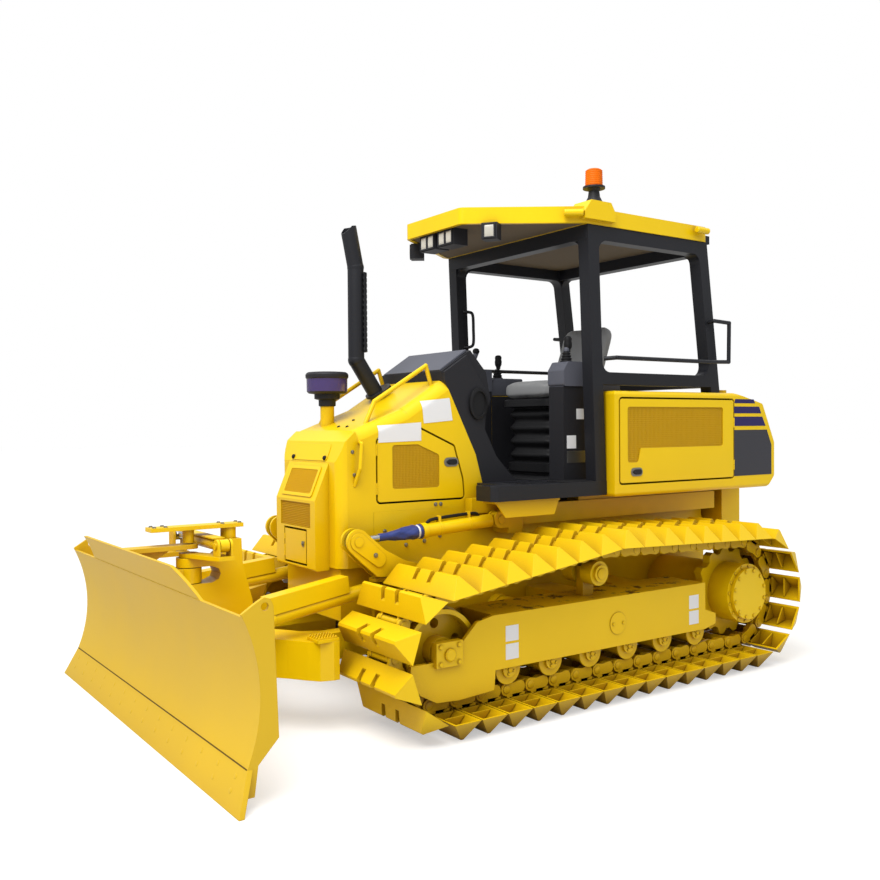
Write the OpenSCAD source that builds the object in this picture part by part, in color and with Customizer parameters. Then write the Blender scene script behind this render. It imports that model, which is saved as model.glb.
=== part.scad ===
// Crawler bulldozer with a power angle and tilt blade, an open canopy and wide triangular shoes.
// Millimetres, +X forward, +Y left, +Z up, ground at Z = 0.

/* [Tracks] */
// distance between the centre lines of the two tracks
track_gauge = 1576; // [1560:2:1620]
// length of a shoe across the track
shoe_w = 600; // [560:2:610]
// length of the ridge of a shoe
ridge_w = 500; // [460:2:540]
// wanted distance between two shoes
shoe_pitch = 154; // [148:1:160]
// height of a ridge above the link pins
tip_h = 130; // [124:1:134]
// height of the foot of a shoe above the link pins
foot_h = 42; // [38:1:46]
// distance from the idler axle to the sprocket axle
tumbler_l = 2150; // [2120:5:2180]
// radius of the ridges round the idler
idler_tip_r = 370; // [364:1:376]
// radius of the ridges round the sprocket
sprocket_tip_r = 420; // [414:1:426]
// depth of a link rail below the pins
rail_h = 40; // [36:1:42]
// thickness of a link rail
rail_t = 35; // [28:1:38]
// gap between the two link rails
rail_gap = 124; // [118:1:130]
// radius of a track roller
roller_r = 65; // [60:1:68]
// number of track rollers on a side
roller_n = 6; // [5:1:6]
// distance between two track rollers
roller_gap = 275; // [265:1:280]
// distance of the carrier roller ahead of the middle
carrier_x = 68; // [40:2:100]
// height of the carrier roller axle
carrier_z = 640; // [630:1:650]
// outer width of a track frame
frame_w = 290; // [284:1:300]
// height of the top of a track frame
frame_top = 515; // [505:1:525]
// height of the lower edge of a track frame
frame_low = 250; // [246:1:256]
// radius of the hub cover of a sprocket
hub_r = 174; // [160:1:185]

/* [Hull] */
// half width of the hull and of the hood
hull_hw = 330; // [324:1:336]
// height of the belly plate
belly_z = 400; // [392:1:408]
// height of the deck of the hull
deck_z = 980; // [974:1:986]
// thickness of the hull plates
hull_t = 25; // [20:1:30]
// front end of the hull
hull_front = 1100; // [1094:1:1106]
// rear end of the hull
hull_rear = -1430; // [-1440:1:-1420]
// half width of the rear ledge of the hull
ledge_hw = 440; // [430:1:450]
// diameter of the drawbar pin hole
hitch_d = 42; // [34:1:50]

/* [Hood] */
// thickness of a hood panel
panel_t = 12; // [10:1:15]
// front face of the hood
nose_x = 1300; // [1294:1:1306]
// height of the lower edge of the nose
nose_low = 705; // [702:1:712]
// height of the front edge of the hood top
nose_top = 1400; // [1390:1:1410]
// height of the rear edge of the hood top
hood_top = 1665; // [1655:1:1675]
// rear end of the hood at its top
hood_rear_top = 650; // [640:1:655]
// rear end of the hood at its foot
hood_rear_low = 365; // [360:1:375]
// rounding of the shoulders of the hood
shoulder_r = 70; // [55:1:80]
// front edge of an engine door
door_front = 1075; // [1065:1:1080]
// rear edge of an engine door at its foot
door_rear = 530; // [520:1:545]
// gap round a door
door_gap = 10; // [10:0.5:12]

/* [Body] */
// half width of the rear body
body_hw = 720; // [712:1:728]
// front end of the rear body
body_front = -230; // [-236:1:-228]
// rear end of the rear body
body_rear = -1675; // [-1685:1:-1665]
// height of the foot of the rear body
body_low = 1015; // [1012:1:1020]
// height of the top of the rear body
body_top = 1610; // [1604:1:1614]
// rear edge of a side door of the rear body
side_door_rear = -1265; // [-1275:1:-1255]
// height of the operator floor
floor_z = 1105; // [1100:1:1110]
// distance of the edge of the operator floor from the sides of the rear body
floor_in = 60; // [52:1:64]

/* [Canopy] */
// side of a canopy post
post_t = 80; // [70:1:86]
// height of the lower edge of the roof
roof_z = 2530; // [2500:5:2560]
// height of the rim of the roof
roof_h = 90; // [80:1:100]
// front edge of the visor
roof_front = 497; // [480:1:510]
// rear edge of the roof
roof_rear = -1095; // [-1110:1:-1085]
// reach of the roof beyond the posts
roof_over = 8; // [6:1:20]
// half width of the visor
visor_hw = 270; // [255:1:285]

/* [Blade] */
// width of the blade over the mouldboard
blade_w = 2410; // [2380:2:2440]
// width over the end bits at the ground
edge_w = 2540; // [2500:2:2560]
// height of the blade at its ends
blade_h = 720; // [712:1:730]
// rise of the middle of the blade above its ends
mid_rise = 135; // [130:1:142]
// radius of the hollow face
blade_r = 698; // [690:1:710]
// height of the deepest line of the hollow face
hollow_z = 420; // [416:1:424]
// distance of the deepest line of the hollow face ahead of the king pin
blade_ahead = 170; // [168:1:176]
// thickness of the mouldboard
blade_t = 14; // [12:1:16]
// height of the cutting edge
edge_h = 150; // [140:1:160]

/* [Blade linkage] */
// distance of the lift pivot ahead of the middle
lift_x = 300; // [296:1:304]
// height of the lift pivot
lift_z = 400; // [396:1:404]
// distance of the king pin ahead of the middle
king_x = 1955; // [1952:1:1958]
// height of the tilt pin
tilt_z = 500; // [498:1:502]
// height of the top of the C-shaped push frame
push_top = 430; // [426:1:434]
// depth of the push frame
push_h = 180; // [170:1:185]
// distance of the lift cylinders from the middle
lift_y = 435; // [434:0.5:436]
// distance of the angle rod eyes from the middle
angle_y = 495; // [492:1:498]
// radius of a lift cylinder
lift_r = 36; // [32:1:38]
// radius of an angle cylinder
angle_r = 36; // [32:1:38]
// radius of the tilt cylinder
tilt_r = 30; // [27:1:31]

/* [Shown part] */
// sub-part to draw, or all of them

/* [Hidden] */
$fa = 8;
$fs = 4;
e = 0.3;
paint = [0.93, 0.70, 0.06];
mesh_paint = [0.70, 0.50, 0.06];
black = [0.13, 0.13, 0.15];
steel = [0.55, 0.55, 0.57];
grey = [0.38, 0.38, 0.42];

floor_hw = body_hw - floor_in;
post_y = floor_hw;
roof_hw = post_y + roof_over;
blade_mid_h = blade_h + mid_rise;
ty = track_gauge / 2;
ix = tumbler_l / 2;
face_x = king_x + blade_ahead + blade_r;
blade_front = face_x - sqrt(blade_r * blade_r - pow(blade_mid_h - hollow_z, 2));
knuckle_r = 4.5;
tail_x = body_rear + 1 - knuckle_r;
mid_x = (blade_front + tail_x) / 2;

module place() { translate([-mid_x, 0, 0]) children(); }
module mirrored(m) { if (m) mirror([0, 1, 0]) children(); else children(); }
module both() { children(); mirror([0, 1, 0]) children(); }
module box(x0, x1, y0, y1, z0, z1) { translate([x0, y0, z0]) cube([x1 - x0, y1 - y0, z1 - z0]); }
module slab_y(y0, y1) { translate([0, y1, 0]) rotate([90, 0, 0]) linear_extrude(y1 - y0) children(); }
module slab_x(x0, x1) { translate([x0, 0, 0]) rotate([90, 0, 90]) linear_extrude(x1 - x0) children(); }
module slab_z(z0, z1) { translate([0, 0, z0]) linear_extrude(z1 - z0) children(); }
module rod_y(x, z, y0, y1, r) { translate([x, y0, z]) rotate([-90, 0, 0]) cylinder(r = r, h = y1 - y0); }
module rod_x(y, z, x0, x1, r) { translate([x0, y, z]) rotate([0, 90, 0]) cylinder(r = r, h = x1 - x0); }
module rod_z(x, y, z0, z1, r) { translate([x, y, z0]) cylinder(r = r, h = z1 - z0); }
module rounded(r) { offset(r = r) offset(delta = -r) children(); }
module bar(a, b, r) {
    d = b - a;
    translate(a) rotate([0, acos(d[2] / norm(d)), atan2(d[1], d[0])]) cylinder(r = r, h = norm(d));
}
module tube(path, r) {
    for (i = [0 : len(path) - 2]) bar(path[i], path[i + 1], r);
    if (len(path) > 2) for (i = [1 : len(path) - 2]) translate(path[i]) sphere(r = r * 1.04);
}

// track path: the pins run round the idler, over the carrier roller and round the sprocket
r1 = idler_tip_r - tip_h;
r2 = sprocket_tip_r - tip_h;
c1 = [ix, idler_tip_r];
c2 = [-ix, sprocket_tip_r];
kp = [carrier_x, carrier_z + roller_r + rail_h + 3];
d1 = kp - c1;
d2 = kp - c2;
a1 = atan2(d1[1], d1[0]) - acos(r1 / norm(d1));
a2 = atan2(d2[1], d2[0]) + acos(r2 / norm(d2));
t1 = c1 + r1 * [cos(a1), sin(a1)];
t2 = c2 + r2 * [cos(a2), sin(a2)];
l0 = tumbler_l;
l1 = l0 + r1 * (a1 + 90) * PI / 180;
l2 = l1 + norm(kp - t1);
l3 = l2 + norm(t2 - kp);
l4 = l3 + r2 * (270 - a2) * PI / 180;
shoe_n = round(l4 / shoe_pitch);
step = l4 / shoe_n;
function on_arc(c, r, a) = [c[0] + r * cos(a), c[1] + r * sin(a), a];
function on_line(p, q, f, a) = [p[0] + (q[0] - p[0]) * f, p[1] + (q[1] - p[1]) * f, a];
function along(s) = s < l0 ? [-ix + s, tip_h, -90]
    : s < l1 ? on_arc(c1, r1, -90 + (s - l0) / r1 * 180 / PI)
    : s < l2 ? on_line(t1, kp, (s - l1) / (l2 - l1), a1)
    : s < l3 ? on_line(kp, t2, (s - l2) / (l3 - l2), a2)
    : on_arc(c2, r2, a2 + (s - l3) / r2 * 180 / PI);
belt_n = 9;
function fan(c, r, b0, b1) = let (w = (b1 - b0) / belt_n, q = r / cos(w / 2))
    [for (i = [0 : belt_n - 1]) c + q * [cos(b0 + w * (i + 0.5)), sin(b0 + w * (i + 0.5))]];
km = (a1 + a2) / 2;
function belt(o) = concat(fan(c1, r1 + o, -90, a1), [kp + o / cos((a2 - a1) / 2) * [cos(km), sin(km)]],
    fan(c2, r2 + o, a2, 270));

shoe_l = step * 0.97;
shoe_t = 13;
pocket_in = rail_gap / 2 + rail_t + 6;
module shoe() {
    difference() {
        intersection() {
            slab_y(-shoe_w / 2, shoe_w / 2)
                polygon([[-shoe_l / 2, foot_h], [shoe_l / 2, foot_h], [7, tip_h], [-7, tip_h]]);
            slab_x(-shoe_l, shoe_l) polygon([[-shoe_w / 2, foot_h], [shoe_w / 2, foot_h],
                [ridge_w / 2, tip_h], [-ridge_w / 2, tip_h]]);
        }
        both() slab_y(pocket_in, ridge_w / 2 - shoe_t) polygon([[-shoe_l / 2 + shoe_t, foot_h - 1],
            [shoe_l / 2 - shoe_t, foot_h - 1], [0, tip_h - shoe_t]]);
    }
}
module track_loop() {
    for (i = [0 : shoe_n - 1]) {
        p = along(i * step);
        translate([p[0], 0, p[1]]) rotate([0, 90 - p[2], 0]) shoe();
    }
    both() slab_y(rail_gap / 2, rail_gap / 2 + rail_t) difference() {
        polygon(belt(foot_h + 3));
        polygon(belt(-rail_h));
    }
}
module track(m) { color(paint) place() mirrored(m) translate([0, ty, 0]) track_loop(); }
module track_left() { track(false); }
module track_right() { track(true); }

// running gear
rail_out = rail_gap / 2 + rail_t;
roller_z = tip_h + rail_h + roller_r;
side_in = frame_w / 2 - 20;
roller_x0 = roller_gap * (roller_n - 1) / 2;
module track_roller(w) {
    rod_y(0, 0, -rail_out - 14, rail_out + 14, roller_r - e);
    both() rod_y(0, 0, rail_out + 2.5, rail_out + 14, roller_r + 11);
    rod_y(0, 0, -w, w, 40);
}
module rollers(m) {
    color(paint) place() mirrored(m) translate([0, ty, 0]) {
        for (i = [0 : roller_n - 1])
            translate([roller_x0 - i * roller_gap, 0, roller_z]) track_roller(side_in - e);
        translate([carrier_x, 0, carrier_z]) both() difference() {
            union() {
                rod_y(0, 0, 30, rail_out + 14, roller_r - e);
                rod_y(0, 0, rail_out + 14, rail_out + 30, 45);
            }
            rod_y(0, 0, 0, rail_out + 20, 25 + e);
        }
    }
}
module rollers_left() { rollers(false); }
module rollers_right() { rollers(true); }

module sprocket(m) {
    tip = r2 - 26;
    color(paint) place() mirrored(m) translate([-ix, ty, sprocket_tip_r]) {
        slab_y(-25, 25) polygon([for (i = [0 : 51]) let (a = i * 360 / 52,
            r = i % 4 < 2 ? tip : tip - 32) r * [cos(a), sin(a)]]);
        rod_y(0, 0, 25, 168, hub_r);
        rod_y(0, 0, 168, 192, hub_r * 0.86);
    }
}
module sprocket_left() { sprocket(false); }
module sprocket_right() { sprocket(true); }

tread_r = r1 - rail_h - 1;
module idler(m) {
    color(paint) place() mirrored(m) translate([ix, ty, idler_tip_r]) difference() {
        union() {
            rod_y(0, 0, -45, 45, tread_r + 14);
            both() rod_y(0, 0, 45, rail_out + 6, tread_r);
            rod_y(0, 0, -side_in + e, side_in - e, 48);
        }
        both() difference() {
            rod_y(0, 0, 40, rail_out + 7, tread_r - 22);
            rod_y(0, 0, 39, rail_out + 8, 70);
        }
        for (i = [0 : 4]) rotate([0, i * 72, 0]) rod_y(0, 125, -60, 60, 24);
    }
}
module idler_left() { idler(false); }
module idler_right() { idler(true); }

frame_front = ix - 275;
frame_rear = -ix + 340;
module frame_plate() {
    polygon([[frame_rear - 90, frame_low + 20], [frame_rear - 90, frame_low + 80], [frame_rear,
        frame_low + 110],
        [frame_rear, frame_top], [frame_front, frame_top], [frame_front + 100, frame_top - 20],
        [ix - 80, frame_top - 110], [ix - 60, idler_tip_r - 30], [ix + 200, idler_tip_r - 30],
        [ix + 205, idler_tip_r - 90], [ix + 150, tip_h + 70], [ix + 60, tip_h + 22],
        [ix - 70, tip_h + 14], [frame_front, tip_h + 26], [frame_front - 8, frame_low], [frame_rear,
            frame_low]]);
}
module track_frame(m) {
    color(paint) place() mirrored(m) translate([0, ty, 0]) {
        difference() {
            union() {
                both() slab_y(side_in, frame_w / 2) frame_plate();
                box(frame_rear, frame_front, -side_in - 1, side_in + 1, frame_top - 22, frame_top);
                box(frame_front - 22, frame_front, -side_in - 1, side_in + 1, frame_low + 60, frame_top);
                box(frame_rear, frame_rear + 22, -side_in - 1, side_in + 1, frame_low + 60, frame_top);
                both() box(ix - 75, ix + 75, side_in, frame_w / 2 + 22, idler_tip_r - 55,
                    idler_tip_r + 60);
                box(carrier_x - 38, carrier_x + 38, -26, 26, frame_top - 5, carrier_z + 30);
            }
            rod_y(ix, idler_tip_r, frame_w / 2 + 8, frame_w, 14);
        }
        rod_y(carrier_x, carrier_z, -rail_out - 20 + e, rail_out + 20 - e, 25);
        rod_y(-30, (frame_low + frame_top) / 2 - 10, frame_w / 2 - 2, frame_w / 2 + 5, 58);
    }
}
module track_frame_left() { track_frame(false); }
module track_frame_right() { track_frame(true); }

// hull with its cross beams, cylinder brackets and drawbar
frame_in = ty - frame_w / 2;
ledge_front = body_front + 460;
lift_pin = [380, deck_z - 71];
module main_frame() {
    color(paint) place() {
        difference() {
            union() {
                box(hull_rear, hull_front, -hull_hw, hull_hw, belly_z, deck_z);
                box(hull_rear, ledge_front, -ledge_hw, ledge_hw, deck_z - 110, deck_z);
                box(hull_front - 5, nose_x - 20, -hull_hw + 30, hull_hw - 30, belly_z + 40, nose_low - 5);
                slab_y(-hull_hw + 30, hull_hw - 30)
                    polygon([[hull_rear + 2, belly_z + 40], [hull_rear - 60, belly_z + 70],
                        [hull_rear - 60, deck_z - 200], [hull_rear + 2, deck_z - 110]]);
            }
            box(hull_rear + hull_t, hull_front - hull_t, -hull_hw + hull_t, hull_hw - hull_t,
                belly_z + hull_t, deck_z + 1);
        }
        for (x = [460, 960]) box(x, x + 60, -hull_hw + hull_t - 1, hull_hw - hull_t + 1,
            belly_z + hull_t - 1, belly_z + hull_t + 95);
        difference() {
            slab_z(belly_z + 60, belly_z + 110) polygon([[hull_rear - 55, -110], [hull_rear - 150, -70],
                [hull_rear - 190, -70], [hull_rear - 190, 70], [hull_rear - 150, 70], [hull_rear - 55,
                    110]]);
            rod_z(hull_rear - 140, 0, belly_z, belly_z + 200, hitch_d / 2);
        }
    }
}

module side_beams() {
    color(paint) place() both() {
        for (x = [-560, -110]) box(x, x + 200, hull_hw, frame_in, belly_z + 20, belly_z + 100);
        rod_y(-ix, sprocket_tip_r, hull_hw, ty - 25, hub_r - 10);
        rod_y(lift_x, lift_z, hull_hw, lift_y - 51, 80);
        rod_y(lift_x, lift_z, lift_y - 52, lift_y + 37, 35);
        rod_y(lift_x, lift_z, lift_y + 36, lift_y + 48, 55);
    }
}
module lift_brackets() {
    color(paint) place() both() {
        box(ledge_front, ledge_front + 100, hull_hw, lift_y + 36, deck_z - 150, deck_z - 6);
        for (y = [-36, 22]) slab_y(lift_y + y, lift_y + y + 14) {
            translate(lift_pin) circle(r = 46);
            polygon([[ledge_front + 95, lift_pin[1] - 46], [lift_pin[0], lift_pin[1] - 46],
                [lift_pin[0], lift_pin[1] + 46], [ledge_front + 95, lift_pin[1] + 46]]);
        }
        rod_y(lift_pin[0], lift_pin[1], lift_y - 42, lift_y + 42, 22);
        box(ledge_front, 520, hull_hw, hull_hw + 60, deck_z - 38, deck_z + 1);
        box(90, 520, hull_hw + 1, hull_hw + 60, deck_z, deck_z + 45);
        box(90, 425, hull_hw + 50, floor_hw - 40, deck_z + 30, deck_z + 45);
        slab_y(floor_hw - 50, floor_hw - 40)
            polygon([[90, deck_z + 45], [130, deck_z - 45], [470, deck_z - 45], [540, deck_z + 45]]);
        box(420, 540, lift_y + 75, floor_hw - 40, deck_z + 30, deck_z + 45);
    }
}
module engine_block() {
    color(steel) place() {
        box(480, 1050, -230, 230, belly_z + hull_t + 95, 1240);
    }
}

// hood, doors and what stands on the hood
hood_bend = [hood_rear_top + 255, nose_top + 110];
hood_knee = [hood_rear_low + 80, deck_z + 282];
hood_outer = [[nose_x, nose_low], [nose_x, nose_top - 160], [nose_x - 38, nose_top - 55], [nose_x - 100,
    nose_top],
    hood_bend, [hood_rear_top, hood_top], hood_knee, [hood_rear_low, deck_z], [hull_front + 1, deck_z],
    [hull_front + 1, nose_low]];
module hood_cavity(drop) {
    polygon([[nose_x - 34, nose_low - 1], [nose_x - 34, nose_top - 160 - drop], [nose_x - 120,
        nose_top - 18 - drop],
        hood_bend - [0, 18 + drop], [hood_rear_top - 4, hood_top - 34 - drop],
        hood_knee + [16, -6 - min(drop, 1)], [hood_rear_low + 16, deck_z - 1], [hull_front + 20,
            deck_z - 1],
        [hull_front + 20, nose_low - 1]]);
}
nose_r = 60;
cross = 1.02;
module shoulder(a, b) {
    d = b - a;
    r = shoulder_r;
    translate([a[0], 0, a[1]]) rotate([0, -atan2(d[1], d[0]), 0]) mirror([0, 0, 1]) difference() {
        translate([-7, hull_hw - r, -r]) cube([norm(d) + 14, r + 1, r + 1]);
        rod_x(hull_hw - r, -r, -8, norm(d) + 8, r * cross);
    }
}
door_low = deck_z + 50;
door_pts = [[door_front, door_low], [door_front, nose_top - 50], hood_bend - [0, 95], hood_bend - [70,
    95],
    [door_rear + 65, door_low + 280], [door_rear + 8, door_low + 100], [door_rear, door_low]];
door_mesh = [[door_front - 90, door_low + 65], [door_front - 90, door_low + 292], [door_front - 247,
    door_low + 294],
    [door_rear + 160, door_low + 236], [door_rear + 160, door_low + 63]];
hinge_x = door_front + door_gap / 2;
corner_r = 16;
screen_t = 5;
module door_shape() { rounded(corner_r) polygon(door_pts); }
module door_window() { rounded(corner_r) polygon(door_mesh); }
module hood() {
    color(paint) place() {
        difference() {
            slab_y(-hull_hw, hull_hw) polygon(hood_outer);
            slab_y(-hull_hw + panel_t, hull_hw - panel_t) hood_cavity(shoulder_r);
            slab_y(-hull_hw + shoulder_r, hull_hw - shoulder_r) hood_cavity(0);
            both() {
                slab_y(hull_hw - panel_t - 1, hull_hw + 1) offset(r = door_gap) door_shape();
                shoulder([nose_x - 100, nose_top], hood_bend);
                shoulder(hood_bend, [hood_rear_top, hood_top]);
                difference() {
                    box(nose_x - nose_r, nose_x + 1, hull_hw - nose_r, hull_hw + 1, nose_low - 1,
                        nose_top);
                    rod_z(nose_x - nose_r, hull_hw - nose_r, nose_low - 2, nose_top + 1, nose_r * cross);
                }
            }
        }
        both() {
            translate([hinge_x, hull_hw - 1, 0]) for (z = [door_low + 40, door_low + 240]) {
                rod_z(0, 0, z, z + 30, knuckle_r);
                box(0, door_gap, -8, 0, z, z + 30);
            }
            tube([[nose_x - 190, 245, nose_top + 5], [nose_x - 260, 245, nose_top + 150],
                [hood_rear_top + 65, 245, hood_top + 80], [hood_rear_top + 30, 245, hood_top - 30]], 12);
            tube([[nose_x - 120, hull_hw - 4, nose_top - 60], [nose_x - 110, hull_hw + 38, nose_top - 66],
                [nose_x - 100, hull_hw + 38, nose_top - 190], [nose_x - 90, hull_hw - 4,
                    nose_top - 280]], 10);
        }
    }
}
module engine_door(m) {
    place() mirrored(m) {
        color(paint) difference() {
            slab_y(hull_hw - panel_t, hull_hw) door_shape();
            slab_y(hull_hw - panel_t - 1, hull_hw + 1) door_window();
        }
        color(mesh_paint) slab_y(hull_hw - panel_t,
            hull_hw - panel_t + screen_t) offset(r = 1) door_window();
        color(paint) translate([hinge_x, hull_hw - 1, 0]) for (z = [door_low + 71, door_low + 271]) {
            rod_z(0, 0, z, z + 30, knuckle_r);
            box(-door_gap, 0, -8, 0, z, z + 30);
        }
    }
}
module engine_door_left() { engine_door(false); }
module engine_door_right() { engine_door(true); }

nose_hw = 222;
nose_out = nose_x + 80;
latch_low = nose_low + 12;
module nose_grille() {
    outer = [[nose_x, nose_low - 15], [nose_out - 8, nose_low - 15], [nose_out, nose_low - 7],
        [nose_out, nose_low + 340], [nose_x, nose_top - 165]];
    place() {
        color(paint) difference() {
            slab_y(-nose_hw, nose_hw) polygon(outer);
            slab_y(-nose_hw + 12, nose_hw - 12) polygon([[nose_x - 1, nose_low], [nose_out - 14,
                nose_low],
                [nose_out - 14, nose_low + 330], [nose_x - 1, nose_top - 185]]);
            box(nose_out - 20, nose_out + 1, -170, 170, nose_low + 200, nose_low + 325);
            box(nose_out - 20, nose_out + 1, -120 - door_gap, 120 + door_gap, latch_low - door_gap,
                latch_low + 168 + door_gap);
        }
        color(mesh_paint) box(nose_out - 14, nose_out - 9, -170, 170, nose_low + 200, nose_low + 325);
        color(paint) translate([nose_out - 1, -120 - door_gap / 2, 0]) {
            rod_z(0, 0, latch_low + 20, latch_low + 50, knuckle_r);
            box(-8, 0, -door_gap, 0, latch_low + 20, latch_low + 50);
            rod_z(0, 0, latch_low + 110, latch_low + 140, knuckle_r);
            box(-8, 0, -door_gap, 0, latch_low + 110, latch_low + 140);
        }
    }
}
module nose_door() {
    color(paint) place() {
        box(nose_out - 14, nose_out, -120, 120, latch_low, latch_low + 168);
        translate([nose_out - 1, -120 - door_gap / 2, 0]) {
            rod_z(0, 0, latch_low + 51, latch_low + 81, knuckle_r);
            box(-8, 0, 0, door_gap, latch_low + 51, latch_low + 81);
        }
    }
}

stack_y = -120;
guard_low = hood_top + 170;
guard_h = 440;
slot_n = 14;
slot_h = 12;
slot_hw = 44;
slot_step = guard_h / (slot_n + 0.5);
module exhaust_stack() {
    foot = [hood_rear_top + 140, stack_y, hood_top - 90];
    knee = [hood_rear_top + 285, stack_y, hood_top + 125];
    top = [hood_rear_top + 285, stack_y, hood_top + 640];
    tip = [hood_rear_top + 330, stack_y, hood_top + 860];
    color(black) place() difference() {
        union() {
            tube([foot, knee, top, tip], 45);
            translate([knee[0], stack_y, 0]) {
                difference() {
                    rotate([0, 0, 110]) rotate_extrude(angle = 140) translate([58,
                        guard_low]) square([5, guard_h]);
                    for (i = [0 : slot_n - 1]) box(-70, -20, -slot_hw, slot_hw,
                        guard_low + (i + 0.5) * slot_step,
                        guard_low + (i + 0.5) * slot_step + slot_h);
                }
                for (i = [1, slot_n / 2, slot_n - 1]) translate([0, 0,
                    guard_low + i * slot_step]) box(-61, -30, -10, 10, -2, 10);
            }
            translate(foot + [0, 0, 36]) rotate([0, 31, 0]) cylinder(r = 78, h = 14);
        }
        slab_y(stack_y - 100, stack_y + 100) polygon(hood_outer);
        translate(tip) rotate([0, 50, 0]) translate([-200, -200, 0]) cube(400);
        bar(top + [0, 0, -150], top, 40);
        translate(top) sphere(r = 40);
        bar(top, tip + [10, 0, 49], 40);
    }
}
module air_cleaner() {
    color(black) place() difference() {
        translate([nose_x - 190, -140, nose_top]) rotate_extrude() polygon([[0, 0], [38, 0], [38, 150],
            [44, 165],
            [70, 172], [70, 198], [102, 204], [112, 216], [112, 286], [118, 292], [118, 306], [106,
                318], [0, 318]]);
        slab_y(-300, 0) polygon(hood_outer);
    }
}

// operator station
notch_y = lift_y + 75;
step_cut = min(30, (floor_hw - notch_y) / 2);
module platform() {
    step_x = 580;
    color(black) place() difference() {
        union() {
            box(body_front + 1, hood_rear_low - 1, -hull_hw + 2, hull_hw - 2, deck_z, floor_z);
            both() slab_z(deck_z + 45, floor_z) polygon([[body_front + 1, 0], [body_front + 1,
                floor_hw], [step_x - step_cut, floor_hw],
                [step_x, floor_hw - step_cut], [step_x, notch_y], [440, notch_y], [440, hull_hw + 5],
                [hood_rear_low - 1, hull_hw + 5], [hood_rear_low - 1, 0]]);
        }
        both() box(90, 330, 380, floor_hw - 60, floor_z - 30, floor_z + 1);
    }
}
module dashboard() {
    on_rear = hood_rear_low + 80 * (floor_z - deck_z) / 282;
    color(black) place() {
        slab_y(-hull_hw + 24, hull_hw - 24) polygon([[on_rear, floor_z], hood_knee, [hood_rear_top,
            hood_top],
            [hood_rear_top + 5, hood_top + 50], [hood_rear_top - 190, hood_top + 170],
                [hood_rear_top - 297, hood_top + 53],
            [hood_rear_top - 331, hood_top - 103], [hood_rear_top - 265, hood_top - 242], [on_rear - 90,
                floor_z]]);
        both() slab_y(hull_hw - 25, hull_hw) polygon([[on_rear, floor_z], hood_knee, [hood_rear_top,
            hood_top],
            [hood_rear_top, hood_top + 45], [hood_rear_top - 150, hood_top + 140], [hood_rear_top - 290,
                hood_top - 65],
            [hood_rear_top - 270, hood_top - 265], [hood_rear_top - 350, hood_top - 415],
                [on_rear - 190, floor_z + 50],
            [on_rear - 250, floor_z]]);
    }
}
bay_z = body_low + 115;
module seat_base() {
    color(black) place() {
        box(-640, -200, -220, 220, bay_z, bay_z + 60);
        for (i = [0 : 3]) box(-620 + i % 2 * 12, -210 - i % 2 * 12, -200 + i % 2 * 12, 200 - i % 2 * 12,
            bay_z + 60 + i * 85, bay_z + 145 + i * 85);
        box(-660, -170, -235, 235, bay_z + 400, bay_z + 450);
    }
}
pad_r = 30;
module seat_cushion() {
    color(grey) place() {
        slab_y(-240, 240) rounded(pad_r) translate([-660, bay_z + 450]) square([510, 110]);
        slab_y(-230, 230) rounded(pad_r) polygon([[-640, bay_z + 555], [-560, bay_z + 555], [-700,
            bay_z + 930], [-790, bay_z + 940],
            [-800, bay_z + 900]]);
    }
}
console_y = post_y - post_t - 138;
arm_z = floor_z + 535;
module consoles() {
    color(grey) place() both() {
        box(body_front + 2, -50, console_y - 57, console_y + 58, floor_z, arm_z);
        slab_y(console_y - 67, console_y + 68) rounded(corner_r) polygon([[body_front + 2, arm_z], [-45,
            arm_z],
            [-45, arm_z + 90], [-80, arm_z + 140], [body_front + 2, arm_z + 140]]);
        tube([[-130, console_y - 2, arm_z + 130], [-130, console_y - 2, arm_z + 210],
            [-150, console_y - 2, arm_z + 250]], 16);
    }
}

// canopy
front_x = body_front + 45;
rear_x = body_front - 940;
rail_low = body_top + 35;
rail_top = body_top + 105;
beam_low = roof_z - 80;
front_lean = 55;
rear_lean = 120;
frame_r = 60;
function front_at(z) = front_x + front_lean * (z - floor_z) / (roof_z - floor_z);
function rear_at(z) = rear_x + rear_lean * (z - body_top) / (roof_z - body_top);
module side_frame() {
    h = post_t / 2;
    slab_y(post_y - post_t, post_y) difference() {
        polygon([[front_at(floor_z) - h, floor_z], [front_at(floor_z) + h, floor_z],
            [front_at(roof_z) + h, roof_z],
            [rear_at(roof_z) - h, roof_z], [rear_at(body_top) - h, body_top], [rear_at(body_top) + h,
                body_top],
            [rear_at(rail_low) + h, rail_low], [front_at(rail_low) - h, rail_low]]);
        rounded(frame_r) polygon([[front_at(rail_top) - h, rail_top], [front_at(beam_low) - h, beam_low],
            [rear_at(beam_low) + h, beam_low], [rear_at(rail_top) + h, rail_top]]);
    }
}
module beam_corner(x0, x1) {
    slab_x(x0, x1) translate([post_y - post_t + 1, beam_low + 1]) mirror([1, 1]) difference() {
        square(frame_r);
        translate([frame_r, frame_r]) circle(r = frame_r);
    }
}
module canopy_frame() {
    color(black) place() {
        both() {
            side_frame();
            beam_corner(front_x + 20, front_x + 80);
            beam_corner(rear_x + 85, rear_x + 140);
            tube([[front_x - 30, post_y - 5, body_top + 180], [front_x - 80, post_y + 45, body_top + 185],
                [rear_x + 120, post_y + 60, body_top + 185], [rear_x - 50, post_y + 60, body_top + 190],
                [rear_x - 55, post_y + 60, body_top + 430], [rear_x + 85, post_y + 60, body_top + 435],
                [rear_x + 70, post_y - 5, body_top + 430]], 12);
        }
        box(rear_x + 80, rear_x + 160, -post_y + 10, post_y - 10, beam_low, roof_z);
        box(front_x + 15, front_x + 95, -post_y + 10, post_y - 10, beam_low, roof_z);
        box(rear_x - 40, rear_x + 40, -post_y + 10, post_y - 10, rail_low, rail_top);
    }
}
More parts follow.
